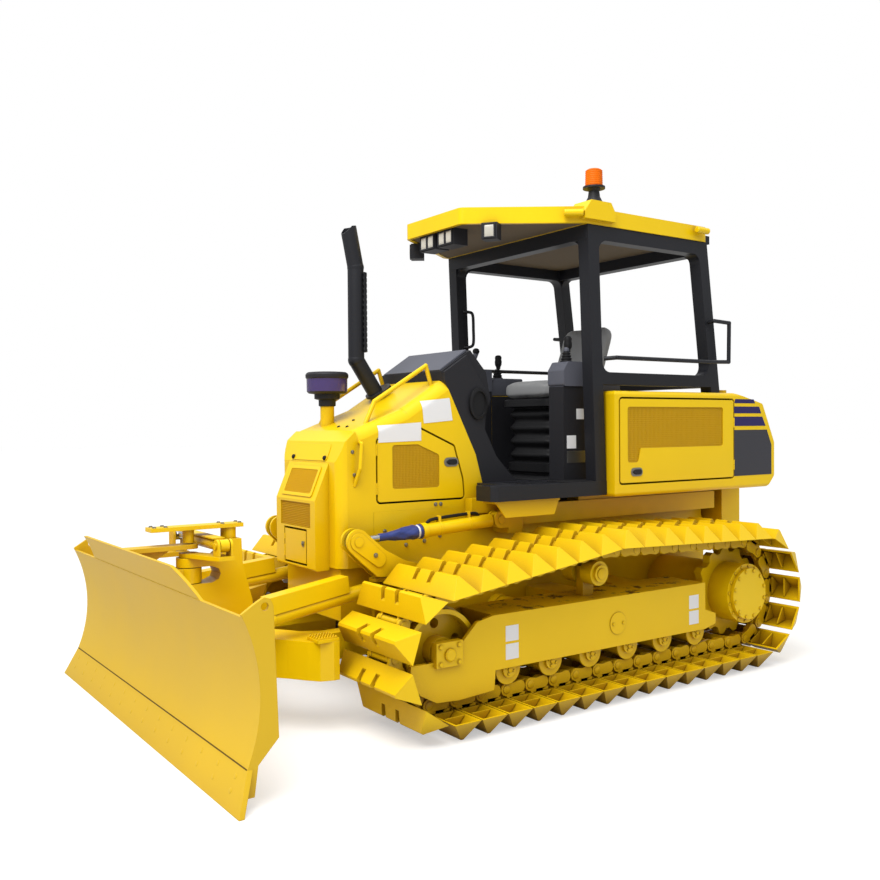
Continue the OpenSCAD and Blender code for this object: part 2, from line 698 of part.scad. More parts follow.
roof_pts = [[roof_front, visor_hw], [front_x + 130, roof_hw], [roof_rear, roof_hw], [roof_rear, -roof_hw],
    [front_x + 130, -roof_hw], [roof_front, -visor_hw]];
roof_r = 40;
module roof() {
    color(paint) place() {
        difference() {
            slab_z(roof_z, roof_z + roof_h) rounded(roof_r) polygon(roof_pts);
            slab_z(roof_z - 1, roof_z + roof_h - 22) offset(delta = -26) rounded(roof_r) polygon(roof_pts);
        }
        difference() {
            box(roof_rear + 20, front_x + 100, -post_y + 20, post_y - 20, roof_z, roof_z + roof_h - 20);
            box(rear_x + 170, front_x + 10, -post_y + 90, post_y - 90, roof_z - 1, roof_z + roof_h - 22);
        }
        both() slab_y(roof_hw - 105, roof_hw + 30) polygon([[front_x - 85, roof_z + 20], [front_x + 150,
            roof_z + 20],
            [front_x + 150, roof_z + 60], [front_x + 100, beacon_z], [front_x - 50, beacon_z],
                [front_x - 85, roof_z + 70]]);
    }
}
module work_lamps() {
    color(black) place() {
        both() {
            box(roof_front - 130, roof_front - 30, 15, 165, roof_z - 90, roof_z + roof_h - 22);
            translate([roof_front - 150, visor_hw + 35, roof_z - 90]) rotate([0, 0, 35]) cube([80, 90,
                90]);
        }
        box(roof_front - 120, roof_front - 60, -20, 20, roof_z - 60, roof_z + 40);
        box(roof_rear - 60, roof_rear, roof_hw - 130, roof_hw - 40, roof_z, roof_z + 50);
    }
}
beacon_z = roof_z + roof_h + 35;
module beacon_base() {
    color(black) place() translate([front_x + 5, roof_hw - 50, 0]) {
        translate([0, 0, beacon_z]) rotate_extrude() polygon([[0, 0], [48, 0], [48, 12], [34, 40], [30,
            72],
            [40, 85], [62, 85], [62, 97], [0, 97]]);
    }
}
module beacon_lens() {
    color([1, 0.35, 0.02]) place() translate([front_x + 5, roof_hw - 50, 0])
        translate([0, 0, beacon_z + 97]) rotate_extrude() polygon([[0, 0], [50, 0], [48, 78], [44, 90],
            [34, 98], [0, 98]]);
}

// rear body with its doors
body_pts = [[body_front, body_low], [body_front, body_top], [body_rear + 395, body_top],
    [body_rear + 120, body_top - 65],
    [body_rear, body_top - 310], [body_rear, body_low + 70], [body_rear + 65, body_low]];
skin = 14;
body_edge = 24;
bay_hw = 386;
tail_hw = 450;
tail_low = body_low - 265;
grille_hw = 400;
grille_low = tail_low + 50;
grille_top = body_top - 340;
side_pts = [[side_door_rear, body_low + 75], [side_door_rear, body_top - 45], [body_front - 45,
    body_top - 45],
    [body_front - 45, body_low + 75]];
side_mesh = [[body_front - 105, body_low + 190], [body_front - 190, body_low + 190], [body_front - 210,
    body_low + 270],
    [side_door_rear + 100, body_low + 270], [side_door_rear + 100, body_top - 90], [body_front - 105,
        body_top - 90]];
side_hinge = side_door_rear - door_gap / 2;
module side_shape() { rounded(corner_r) polygon(side_pts); }
module side_window() { rounded(corner_r) polygon(side_mesh); }
module rear_body() {
    color(paint) place() {
        difference() {
            union() {
                intersection() {
                    slab_y(-body_hw, body_hw) rounded(body_edge) polygon(body_pts);
                    slab_x(body_rear - 1, body_front + 1) rounded(body_edge)
                        translate([-body_hw, body_low]) square([2 * body_hw, body_top - body_low]);
                }
                box(hull_rear + 5, body_front, -ledge_hw + 10, ledge_hw - 10, deck_z, body_low + 5);
                box(body_rear, hull_rear - 62, -tail_hw, tail_hw, tail_low, body_low + 80);
            }
            box(-1050, body_front + 1, -bay_hw, bay_hw, bay_z, body_top + 1);
            both() {
                box(side_door_rear + 5, body_front - skin, bay_hw + skin, body_hw - skin,
                    body_low + skin, body_top - skin);
                slab_y(body_hw - skin - 1, body_hw + 1) offset(r = door_gap) side_shape();
            }
            slab_y(-body_hw + skin, body_hw - skin) polygon([[side_door_rear - 25, body_low + skin],
                [side_door_rear - 25, body_top - skin - 8], [body_rear + 360, body_top - skin - 8],
                [body_rear + 128, body_top - 65 - skin], [body_rear + skin, body_top - 318],
                [body_rear + skin, body_low + 76], [body_rear + 70, body_low + skin]]);
            box(body_rear + skin, hull_rear - 62 - skin, -tail_hw + skin, tail_hw - skin,
                tail_low + skin, body_low + 90);
            box(body_rear - 1, body_rear + skin + 1, -grille_hw - door_gap, grille_hw + door_gap,
                grille_low - door_gap, grille_top + door_gap);
        }
        both() translate([side_hinge, body_hw - 1, 0]) for (z = [body_low + 120, body_low + 380]) {
            rod_z(0, 0, z, z + 30, knuckle_r);
            box(-door_gap, 0, -8, 0, z, z + 30);
        }
        translate([body_rear + 1, -grille_hw - door_gap / 2, 0]) for (z = [grille_low + 40,
            grille_low + 340]) {
            rod_z(0, 0, z, z + 30, knuckle_r);
            box(0, 8, -door_gap, 0, z, z + 30);
        }
        rod_z(body_rear + 350, body_hw - 150, body_top - 30, body_top + 22, 40);
    }
}
module side_door(m) {
    place() mirrored(m) {
        color(paint) difference() {
            slab_y(body_hw - skin, body_hw) side_shape();
            slab_y(body_hw - skin - 1, body_hw + 1) side_window();
        }
        color(mesh_paint) slab_y(body_hw - skin, body_hw - skin + screen_t) offset(r = 1) side_window();
        color(paint) translate([side_hinge, body_hw - 1, 0]) for (z = [body_low + 151, body_low + 411]) {
            rod_z(0, 0, z, z + 30, knuckle_r);
            box(0, door_gap, -8, 0, z, z + 30);
        }
    }
}
module side_door_left() { side_door(false); }
module side_door_right() { side_door(true); }
module rear_door() {
    place() {
        color(paint) difference() {
            box(body_rear, body_rear + skin, -grille_hw, grille_hw, grille_low, grille_top);
            box(body_rear - 1, body_rear + skin + 1, -grille_hw + 60, grille_hw - 60, grille_low + 50,
                grille_top - 50);
        }
        color(mesh_paint) for (z = [grille_low + 60 : 24 : grille_top - 60])
            box(body_rear + 4, body_rear + 9, -grille_hw + 59, grille_hw - 59, z, z + 8);
        color(paint) translate([body_rear + 1, -grille_hw - door_gap / 2, 0])
            for (z = [grille_low + 71, grille_low + 371]) {
                rod_z(0, 0, z, z + 30, knuckle_r);
                box(0, 8, 0, door_gap, z, z + 30);
            }
    }
}
module radiator() {
    color(black) place()
        box(body_rear + 60, body_rear + 130, -grille_hw + 10, grille_hw - 10, tail_low + skin,
            grille_top - 10);
}

// push frame with its tower and lugs
lift_eye = [king_x - 682, push_top + 426];
angle_pin = [king_x - 830, lift_y - 47, push_top + 180];
angle_eye = [king_x + 95, angle_y, tilt_z];
fork_top = blade_mid_h - 65;
fork_low = fork_top - 126;
arm_in = lift_y - 50;
arm_out = lift_y + 35;
neck_x = king_x - 200;
neck_top = blade_mid_h + 15;
ball_r = 34;
race_r = 40;
module ring(r, h) { intersection() { sphere(r = r); cube([3 * r, 3 * r, 2 * h], center = true); } }
module push_plan() {
    k = king_x;
    polygon([[k, 0], [k, 60], [k - 25, 160], [k - 205, 360], [k - 295, 470], [k - 355, 560], [k - 395,
        610], [k - 455, 630],
        [k - 485, 630], [k - 485, arm_out], [k - 560, arm_out], [k - 560, arm_in], [k - 515, arm_in],
            [k - 435, 340],
        [k - 355, 220], [k - 325, 0]]);
}
module lug_plate() {
    x = lift_eye[0];
    z = lift_eye[1];
    translate(lift_eye) circle(r = 62);
    polygon([[x - 473, push_top], [x - 243, push_top], [x - 243, z - 216], [x - 198, z - 188], [x - 108,
        z - 181],
        [x - 18, z - 104], [x + 48, z - 40], [x - 45, z + 42], [x - 153, z - 50], [x - 273, z - 114],
            [x - 413, z - 151],
        [x - 473, z - 231]]);
}
module push_frame() {
    k = king_x;
    color(paint) place() difference() {
        union() {
            both() {
                slab_z(push_top - push_h, push_top) push_plan();
                box(lift_x, k - 480, arm_in, arm_out, push_top - 130, push_top);
                rod_y(lift_x, lift_z, arm_in, arm_out, 75);
                box(k - 485, k - 375, 520, 628, push_top - 2, push_top + 14);
            }
            slab_y(-60, 60) polygon([[k - 320, push_top - 5], [k - 305, fork_low - 104], [k - 275,
                fork_low + 6],
                [k - 255, fork_top - 40], [k - 250, neck_top], [k - 172, neck_top], [k - 166,
                    fork_top + 30],
                [k - 130, fork_top], [k, fork_top], [k, fork_top - 45], [k - 95, fork_top - 45],
                [k - 130, fork_top - 60], [k - 140, (fork_low + fork_top - 45) / 2], [k - 130,
                    fork_low + 15],
                [k - 95, fork_low], [k, fork_low], [k, push_top - 5]]);
            rod_z(k, 0, fork_top - 45, fork_top, 60);
            rod_z(k, 0, push_top - push_h, fork_low, 60);
            rod_z(neck_x - 5, 0, neck_top - 40, neck_top + 30, 18);
        }
        both() rod_y(lift_x, lift_z, arm_in - 1, arm_out + 1, 35 + e);
        rod_z(k, 0, fork_low - 100, fork_top + 1, 30 + e);
    }
}
lug_front = lift_eye[0] - 245;
module lift_lugs() {
    color(paint) place() both() {
        slab_y(lift_y - 35, lift_y - 20) lug_plate();
        slab_y(lift_y + 20, lift_y + 35) lug_plate();
        box(lift_eye[0] - 470, lug_front, lift_y - 35, lift_y + 35, push_top, push_top + 180);
        slab_y(lift_y + 34, lift_y + 41) hull() {
            translate(lift_eye) circle(r = 44);
            translate(lift_eye - [118, 96]) circle(r = 36);
        }
        rod_y(lift_eye[0], lift_eye[1], lift_y + 40, lift_y + 46, 24);
        for (z = [-48, 30]) slab_z(angle_pin[2] + z, angle_pin[2] + z + 18) {
            translate([angle_pin[0], angle_pin[1]]) circle(r = 36);
            polygon([[lug_front - 13, lift_y - 35], [angle_pin[0] - 30, angle_pin[1] - 36],
                [angle_pin[0], angle_pin[1] - 36],
                [angle_pin[0], angle_pin[1] + 36], [lug_front - 13, lift_y + 35]]);
        }
        rod_z(angle_pin[0], angle_pin[1], angle_pin[2] - 54, angle_pin[2] + 54, 18);
        translate(angle_pin) ring(ball_r, 28);
    }
}
link_z = neck_top + 55;
module pitch_link() {
    color(paint) place() difference() {
        union() {
            box(neck_x - 68, king_x + 195, -45, 45, link_z, link_z + 20);
            rod_z(neck_x - 5, 0, neck_top + 1, link_z + 1, 38);
            rod_z(king_x, 0, blade_mid_h + 6, link_z + 1, 28);
        }
        rod_z(neck_x - 5, 0, neck_top - 50, neck_top + 40, 18 + e);
    }
}
tilt_pin = [king_x - 90, 220, blade_mid_h + 5];
tilt_eye = [king_x - 90, -400, blade_mid_h + 5];
module trunnion() {
    k = king_x;
    color(paint) place() {
        rod_z(k, 0, fork_low + 4, fork_top - 49, 62);
        rod_z(k, 0, fork_low - 98, fork_top + 4, 30);
        box(k + 20, k + 100, -45, 45, fork_low + 4, fork_top - 49);
        box(k + 66, k + 100, -70, 70, tilt_z - 60, fork_top - 49);
        rod_x(0, tilt_z, k + 98, k + 148, 40);
        rod_z(k, 0, fork_top + 2, fork_top + 22, 46);
        slab_z(fork_top + 2, fork_top + 22) polygon([[k - 22, -34], [k + 34, 30], [k - 50, 262],
            [k - 130, 262], [k - 130, 195]]);
        for (x = [-38, 26]) translate([tilt_pin[0] + x, 0, 0]) slab_x(0, 12) {
            translate([tilt_pin[1], tilt_pin[2]]) circle(r = 32);
            translate([tilt_pin[1] - 32, fork_top + 20]) square([64, tilt_pin[2] - fork_top - 20]);
        }
        rod_x(tilt_pin[1], tilt_pin[2], tilt_pin[0] - 44, tilt_pin[0] + 44, 16);
    }
}

// blade
edge_x = face_x - sqrt(blade_r * blade_r - pow(edge_h - hollow_z, 2));
edge_run = (hollow_z - edge_h) / (face_x - edge_x);
function edge_at(z) = edge_x + (edge_h - z) * edge_run;
edge_t = 22;
module blade() {
    k = king_x;
    w = blade_w / 2;
    color(paint) place() difference() {
        union() {
            intersection() {
                rod_y(face_x, hollow_z, -w, w, blade_r + blade_t, $fn = 360);
                slab_x(face_x - blade_r - blade_t - 1, blade_front + 5) polygon([[-w, edge_h], [w,
                    edge_h], [w, blade_h],
                    [780, blade_h], [664, blade_mid_h], [-664, blade_mid_h], [-780, blade_h], [-w,
                        blade_h]]);
            }
            slab_y(-w, w) polygon([[edge_at(45) - edge_t, 45], [edge_x - edge_t, edge_h], [edge_x - 10,
                edge_h],
                [edge_x - 20, edge_h + 40], [edge_at(45) - edge_t - 70, edge_h + 40],
                    [edge_at(45) - edge_t - 50, 45]]);
            box(k + 115, k + 175, -w + 10, w - 10, blade_h - 130, blade_h - 70);
            both() {
                slab_y(w - 16, w) polygon([[k + 95, 250], [k + 113, blade_h + 31], [k + 125,
                    blade_h + 58], [k + 150, blade_h + 66],
                    [k + 178, blade_h + 52], [k + 260, blade_h], [k + 260, edge_h], [k + 190, edge_h]]);
                for (z = [-56, 40]) slab_z(tilt_z + z, tilt_z + z + 16) polygon([[k + 45, angle_y - 34],
                    [k + 45, angle_y + 34], [k + 190, angle_y + 60], [k + 190, angle_y - 60]]);
            }
            rod_x(0, tilt_z, k + 104, k + 190, 75);
            rod_z(k, 0, blade_mid_h - 22, blade_mid_h, 46);
            box(k, blade_front + 8, -46, 46, blade_mid_h - 22, blade_mid_h);
            slab_y(-12, 12) polygon([[k + 90, blade_mid_h - 20], [k + 235, blade_mid_h - 110],
                [blade_front + 8, blade_mid_h - 110], [blade_front + 8, blade_mid_h - 20]]);
            box(k - 130, blade_front + 8, tilt_eye[1] - 60, tilt_eye[1] + 60, blade_mid_h - 105,
                blade_mid_h - 81);
            for (x = [-36, 24]) translate([tilt_eye[0] + x, 0, 0]) slab_x(0, 12) {
                translate([tilt_eye[1], tilt_eye[2]]) circle(r = 36);
                translate([tilt_eye[1] - 36, blade_mid_h - 85]) square([72, 90]);
            }
        }
        rod_y(face_x, hollow_z, -w - 1, w + 1, blade_r, $fn = 360);
        rod_x(0, tilt_z, k + 100, k + 151, 40 + e);
        both() rod_y(k + 148, blade_h + 31, w - 20, w + 1, 16);
    }
}
module cutting_edge() {
    color(paint) place() intersection() {
        slab_y(-edge_w / 2, edge_w / 2) polygon([[edge_x, edge_h], [edge_at(0), 0],
            [edge_at(0) - edge_t, 0],
            [edge_x - edge_t, edge_h]]);
        slab_x(edge_x - 100, edge_x + 200) polygon([[-edge_w / 2, 0], [edge_w / 2, 0], [blade_w / 2,
            edge_h],
            [-blade_w / 2, edge_h]]);
    }
}

// cylinders
module tilt_barrel() {
    x = tilt_pin[0];
    z = tilt_pin[2];
    color(paint) place() difference() {
        union() {
            rod_x(tilt_pin[1], z, x - 22, x + 22, 30);
            box(x - 22, x + 22, tilt_pin[1] - 45, tilt_pin[1], z - 22, z + 22);
            rod_y(x, z, -180, tilt_pin[1] - 38, tilt_r);
            box(x - 25, x + 35, -300, tilt_pin[1] - 40, z + tilt_r - 2, z + tilt_r + 5);
        }
        rod_x(tilt_pin[1], z, x - 23, x + 23, 16 + e);
        rod_y(x, z, -181, 160, 16 + e);
    }
}
module tilt_rod() {
    x = tilt_eye[0];
    z = tilt_eye[2];
    color(steel) place() difference() {
        union() {
            rod_y(x, z, tilt_eye[1] + 10, 95, 16);
            rod_x(tilt_eye[1], z, x - 18, x + 18, 30);
        }
        rod_x(tilt_eye[1], z, x - 19, x + 19, 15);
    }
}
lift_d = lift_eye - lift_pin;
lift_l = norm(lift_d);
module in_lift(m) {
    place() mirrored(m) translate([lift_pin[0], lift_y, lift_pin[1]]) rotate([0, -atan2(lift_d[1],
        lift_d[0]), 0]) children();
}
module lift_barrel(m) {
    color(paint) in_lift(m) difference() {
        union() {
            rod_y(0, 0, -20, 20, 42);
            box(0, 60, -18, 18, -30, 30);
            rod_x(0, 0, 54, 500, lift_r);
            rod_x(0, 0, 475, 505, lift_r + 5);
        }
        rod_y(0, 0, -21, 21, 22 + e);
        rod_x(0, 0, 110, 506, 18 + e);
    }
}
module lift_barrel_left() { lift_barrel(false); }
module lift_barrel_right() { lift_barrel(true); }
module lift_rod(m) {
    color(steel) in_lift(m) difference() {
        union() {
            rod_x(0, 0, 335, lift_l - 20, 18);
            rod_y(lift_l, 0, -17, 17, 48);
        }
        rod_y(lift_l, 0, -18, 18, 26);
    }
}
module lift_rod_left() { lift_rod(false); }
module lift_rod_right() { lift_rod(true); }
angle_d = angle_eye - angle_pin;
angle_l = norm(angle_d);
module in_angle() {
    translate(angle_pin) rotate([0, asin(-angle_d[2] / angle_l), atan2(angle_d[1],
        angle_d[0])]) children();
}
module angle_race(m) {
    color(steel) place() mirrored(m) translate(angle_pin) difference() {
        ring(race_r, 15);
        sphere(r = ball_r + e);
    }
}
module angle_race_left() { angle_race(false); }
module angle_race_right() { angle_race(true); }
module angle_barrel(m) {
    color(paint) place() mirrored(m) in_angle() difference() {
        union() {
            rod_z(0, 0, -14, 14, 50);
            box(30, 60, -30, 30, -14, 14);
            rod_x(0, 0, 50, 640, angle_r);
            rod_x(0, 0, 612, 645, angle_r + 5);
            box(190, 640, -38, 38, angle_r - 14, angle_r + 68);
        }
        sphere(r = race_r + e);
        rod_x(0, 0, 70, 646, 20 + e);
    }
}
module angle_barrel_left() { angle_barrel(false); }
module angle_barrel_right() { angle_barrel(true); }
module angle_rod(m) {
    color(steel) place() mirrored(m) difference() {
        union() {
            in_angle() rod_x(0, 0, 330, angle_l - 58, 20);
            in_angle() rod_x(0, 0, angle_l - 60, angle_l - 10, 13);
            translate(angle_eye) rod_z(0, 0, -16, 16, 32);
        }
        translate(angle_eye) rod_z(0, 0, -17, 17, 16);
    }
}
module angle_rod_left() { angle_rod(false); }
module angle_rod_right() { angle_rod(true); }

main_frame();
side_beams();
lift_brackets();
engine_block();
track_frame_left();
track_frame_right();
track_left();
track_right();
sprocket_left();
sprocket_right();
idler_left();
idler_right();
rollers_left();
rollers_right();
hood();
nose_grille();
nose_door();
engine_door_left();
engine_door_right();
exhaust_stack();
air_cleaner();
platform();
dashboard();
seat_base();
seat_cushion();
consoles();
canopy_frame();
roof();
work_lamps();
beacon_base();
beacon_lens();
rear_body();
radiator();
side_door_left();
side_door_right();
rear_door();
push_frame();
lift_lugs();
pitch_link();
trunnion();
blade();
cutting_edge();
tilt_barrel();
tilt_rod();
lift_barrel_left();
lift_barrel_right();
lift_rod_left();
lift_rod_right();
angle_race_left();
angle_race_right();
angle_barrel_left();
angle_barrel_right();
angle_rod_left();
angle_rod_right();
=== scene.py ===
# %% [markdown]
# # Dressing a crawler bulldozer
# The frame holds the machine as plain solids that move on their joints. This notebook adds what the eye
# expects from a step away: hollow track shoes on their links, bolts, wire screens, hoses, a padded seat,
# lamps and paint. Each cell makes one kind of thing, says how it could be made and why it is made this
# way.

import bmesh
import bpy
import numpy as np
from mathutils import Matrix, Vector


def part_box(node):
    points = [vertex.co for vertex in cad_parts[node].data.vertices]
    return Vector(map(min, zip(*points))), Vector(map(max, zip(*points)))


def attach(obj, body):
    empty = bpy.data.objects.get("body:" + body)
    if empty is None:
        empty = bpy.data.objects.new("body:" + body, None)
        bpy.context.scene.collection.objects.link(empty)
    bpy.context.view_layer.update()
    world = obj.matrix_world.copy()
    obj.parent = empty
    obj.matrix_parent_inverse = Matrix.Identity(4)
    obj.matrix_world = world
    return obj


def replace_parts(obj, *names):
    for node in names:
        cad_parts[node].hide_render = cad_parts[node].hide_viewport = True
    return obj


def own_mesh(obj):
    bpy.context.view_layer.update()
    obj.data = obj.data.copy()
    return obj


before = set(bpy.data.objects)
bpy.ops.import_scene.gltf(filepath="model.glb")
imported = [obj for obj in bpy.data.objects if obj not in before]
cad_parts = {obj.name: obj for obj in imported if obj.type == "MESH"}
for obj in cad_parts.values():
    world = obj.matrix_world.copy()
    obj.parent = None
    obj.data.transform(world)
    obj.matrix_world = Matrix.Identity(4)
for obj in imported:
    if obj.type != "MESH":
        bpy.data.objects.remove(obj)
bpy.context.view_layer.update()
SIDES = ("left", "right")
OUT = (0, 1, 0)


def middle(node):
    """Centre of a solid's box, as an array."""
    low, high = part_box(node)
    return (np.array(low) + np.array(high)) / 2


wheel_front = middle("idler_left")
datum = middle("rollers_left")[0]


def metres(points):
    """Millimetres from the middle of the tracks, on the ground, as metres in the frame."""
    return np.asarray(points, float) * 0.001 + [datum, 0, 0]


print(len(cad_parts), "solids; the datum lies at x =", round(datum, 4), "m")

# %% [markdown]
# ## Shapes are arrays
# Every shape below is a pair: an array of points and a list of faces that name them by number. A lofted
# surface is a grid of points, one row per step along it. Keeping the points in one array lets numpy place
# hundreds of bolts at once, where a loop over vertices would crawl.


# %% Grids, lathes, tubes and plates
def grid(points, around=False, caps=False, ring=False):
    """P(i, j) joined to P(i+1, j), P(i+1, j+1) and P(i, j+1); around closes j, ring closes i, and caps fill
    the first and last row."""
    n, m = points.shape[:2]
    i, j = np.meshgrid(np.arange(n if ring else n - 1), np.arange(m if around else m - 1), indexing="ij")
    k, l = (j + 1) % m, (i + 1) % n
    faces = np.stack([i * m + j, l * m + j, l * m + k, i * m + k], -1).reshape(-1, 4).tolist()
    if caps:
        faces += [list(range(m)), list(range((n - 1) * m, n * m))[::-1]]
    return points.reshape(-1, 3), faces


def join(*shapes):
    """One shape from several, each face list moved on by the points before it."""
    starts = np.cumsum([0] + [len(points) for points, _ in shapes])
    faces = [[int(start) + int(v) for v in f] for (_, fs), start in zip(shapes, starts) for f in fs]
    return np.concatenate([points for points, _ in shapes]), faces


def turn(axis):
    """Rotation whose third column is axis and whose first two are any pair at right angles to it."""
    z = np.asarray(axis, float) / np.linalg.norm(axis)
    x = np.cross([0, 1, 0] if abs(z[1]) < 0.9 else [1, 0, 0], z)
    x /= np.linalg.norm(x)
    return np.stack([x, np.cross(z, x), z], 1)


def circle(count, start=0.0):
    """Angles at equal shares of a turn."""
    return start + np.arange(count) * 2 * np.pi / count


def lathe(profile, origin=(0, 0, 0), axis=(0, 0, 1), sides=32, hoop=False):
    """P(h, a) = origin + r(h) (cos a, sin a) across the axis + h along it, for a profile of (r, h) points; a
    hoop's profile closes on itself and leaves the middle open."""
    r, h = np.asarray(profile, float).T
    a = circle(sides)
    local = np.stack([np.outer(r, np.cos(a)), np.outer(r, np.sin(a)), np.outer(h, np.ones(sides))], -1)
    return grid(local @ turn(axis).T + np.asarray(origin, float), around=True, caps=not hoop, ring=hoop)


def tube(path, radius, sides=12):
    """P(i, a) = path(i) + radius (cos a, sin a) across the path, the cross turned on from point to point."""
    path = np.asarray(path, float)
    way = np.gradient(path, axis=0)
    way /= np.linalg.norm(way, axis=1)[:, None]
    side = turn(way[0])[:, 0]
    rows = []
    for t in way:
        side = side - (side @ t) * t
        side /= np.linalg.norm(side)
        rows.append((side, np.cross(t, side)))
    ring = np.stack([np.cos(circle(sides)), np.sin(circle(sides))], 1)
    skin = path[:, None] + radius * np.einsum("as,nsk->nak", ring, np.array(rows))
    return grid(skin, around=True, caps=True)


def bend(corners, steps=8):
    """A smooth path through corner points: each span is a Catmull-Rom cubic of its four neighbours."""
    c = np.asarray(corners, float)
    c = np.concatenate([[2 * c[0] - c[1]], c, [2 * c[-1] - c[-2]]])
    t = np.linspace(0, 1, steps, endpoint=False)[:, None]
    spans = [0.5 * (2 * b + (d - a) * t + (2 * a - 5 * b + 4 * d - e) * t ** 2
                    + (3 * b - a - 3 * d + e) * t ** 3)
             for a, b, d, e in zip(c[:-3], c[1:-2], c[2:-1], c[3:])]
    return np.concatenate(spans + [c[-2:-1]])


AXES = {"x": (1, 2, 0), "y": (0, 2, 1), "z": (0, 1, 2)}


def plate(outline, axis, low, high):
    """A flat outline pushed along x, y or z from low to high; it gives the other two coordinates."""
    a, b, c = AXES[axis]
    outline = np.asarray(outline, float)
    rows = np.zeros((2, len(outline), 3))
    rows[:, :, a], rows[:, :, b] = outline[:, 0], outline[:, 1]
    rows[0, :, c], rows[1, :, c] = low, high
    return grid(rows, around=True, caps=True)


def rectangle(u0, u1, v0, v1):
    """Outline of a rectangle."""
    return [(u0, v0), (u1, v0), (u1, v1), (u0, v1)]


def block(x0, x1, y0, y1, z0, z1):
    """A box between two corners."""
    return plate(rectangle(x0, x1, y0, y1), "z", z0, z1)


def stadium(a, b, radius, steps=10):
    """Outline of a strap with round ends about two points a and b."""
    a, b = np.asarray(a, float), np.asarray(b, float)
    first = np.arctan2(*(b - a)[::-1]) - np.pi / 2
    t = first + np.linspace(0, np.pi, steps)
    arc = radius * np.stack([np.cos(t), np.sin(t)], 1)
    return np.concatenate([b + arc, a - arc])


def round_corners(u0, u1, v0, v1, radius, steps=6):
    """Outline of a rectangle whose corners are quarter circles."""
    right, left, top, low = u1 - radius, u0 + radius, v1 - radius, v0 + radius
    arcs = []
    for k, centre in enumerate([(right, top), (left, top), (left, low), (right, low)]):
        t = np.linspace(0, np.pi / 2, steps) + k * np.pi / 2
        arcs.append(centre + radius * np.stack([np.cos(t), np.sin(t)], 1))
    return np.concatenate(arcs)


def border(outer, inner, low, high):
    """A flat frame between two outlines with as many points, from low to high along z."""
    rows = [np.column_stack([line, np.full(len(line), h)])
            for line, h in ((outer, low), (outer, high), (inner, high), (inner, low))]
    return grid(np.stack(rows), around=True, ring=True)


def slab(over, under):
    """Two layers of one grid of points, joined round their rim."""
    rows = np.concatenate([over, under[::-1]])
    n, m = rows.shape[:2]
    points, faces = grid(rows, ring=True)
    rim = [[i * m + k, (i + 1) * m + k, (n - 2 - i) * m + k, (n - 1 - i) * m + k]
           for i in range(n // 2 - 1) for k in (0, m - 1)]
    return points, faces + rim


print("shape makers are ready")

# %% [markdown]
# ## Copies and frames
# A machine has a left and a right side and rows of equal things. So a shape is drawn once, then mirrored,
# copied or set in a frame of three axes that carries it to any plane.


# %% Mirrors, copies, bolts and frames
def mirror(shape):
    """The same shape on the other side of the machine."""
    return shape[0] * [1, -1, 1], [f[::-1] for f in shape[1]]


def both(shape):
    """A shape and its mirror image."""
    return join(shape, mirror(shape))


def handed(shape, side):
    """A shape drawn on the left, for the side that is named."""
    return mirror(shape) if side == "right" else shape


def copies(shape, origins, turns):
    """The shape at each origin, turned by each rotation: P = R p + o for all copies at once."""
    points, faces = shape
    placed = np.einsum("nij,pj->npi", np.asarray(turns), points) + np.asarray(origins, float)[:, None]
    step = np.arange(len(placed)) * len(points)
    return placed.reshape(-1, 3), [[int(s) + v for v in f] for s in step for f in faces]


def facing(shape, spots, axis):
    """The shape on each spot, standing along one axis."""
    return copies(shape, spots, np.repeat(turn(axis)[None], len(spots), 0))


def bolts(spots, axis, size):
    """Bolt heads of that radius on each spot: a washer, a hexagon and a bevelled top."""
    washer = lathe([(1.25, 0), (1.25, 0.16)], sides=12)
    points, faces = join(washer, lathe([(1, 0.16), (1, 0.62), (0.82, 0.74)], sides=6))
    return facing((points * size, faces), spots, axis)


def circle_spots(x, z, y, radius, count, start=0.0):
    """Spots on a bolt circle in a plane across y."""
    a = circle(count, start)
    return np.stack([x + radius * np.cos(a), np.full(count, float(y)), z + radius * np.sin(a)], 1)


def along(start, stop):
    """Origin and rotation of a line: columns run along it, across it and up from it."""
    start, stop = np.asarray(start, float), np.asarray(stop, float)
    x = (stop - start) / np.linalg.norm(stop - start)
    y = np.cross([0, 0, 1], x)
    y /= np.linalg.norm(y)
    return start, np.stack([x, y, np.cross(x, y)], 1)


def set_in(shape, frame_of):
    """A shape set in a frame of its own axes: P = R p + o."""
    origin, rotation = frame_of
    return shape[0] @ rotation.T + origin, shape[1]


def on_side(shape, y):
    """A shape drawn in (u, v, depth) set up across y: u along x, v along z, depth to the left."""
    return shape[0][:, [0, 2, 1]] + [0, y, 0], shape[1]


def on_front(shape, x, y=0, z=0):
    """A shape drawn in (u, v, depth) set up across x: u along y, v along z, depth forwards."""
    return shape[0][:, [2, 0, 1]] + [x, y, z], shape[1]


print("copies and frames are ready")

# %% [markdown]
# ## Materials
# A painted machine is one lacquer seen many times, so the film is a node group: it gives colour,
# roughness and a normal to every paint. The film is never even. It has a fine orange peel from the spray
# gun, a slow drift in tone, and a soft light line on each edge, which a bevelled normal gives without
# touching the solids. Two more groups give masks: stains on upward faces, and painted shade in nooks,
# a brown darkening that is found by how much sky a point sees.


# %% Shader groups: the paint film, stains and painted shade in nooks
def node_group(name, inputs, outputs):
    """A new group with its input and output nodes; sockets are given as pairs of name and kind."""
    tree = bpy.data.node_groups.new(name, "ShaderNodeTree")
    for way, sockets in (("INPUT", inputs), ("OUTPUT", outputs)):
        for label, kind in sockets:
            tree.interface.new_socket(label, in_out=way, socket_type="NodeSocket" + kind)
    return tree, tree.nodes.new("NodeGroupInput"), tree.nodes.new("NodeGroupOutput")


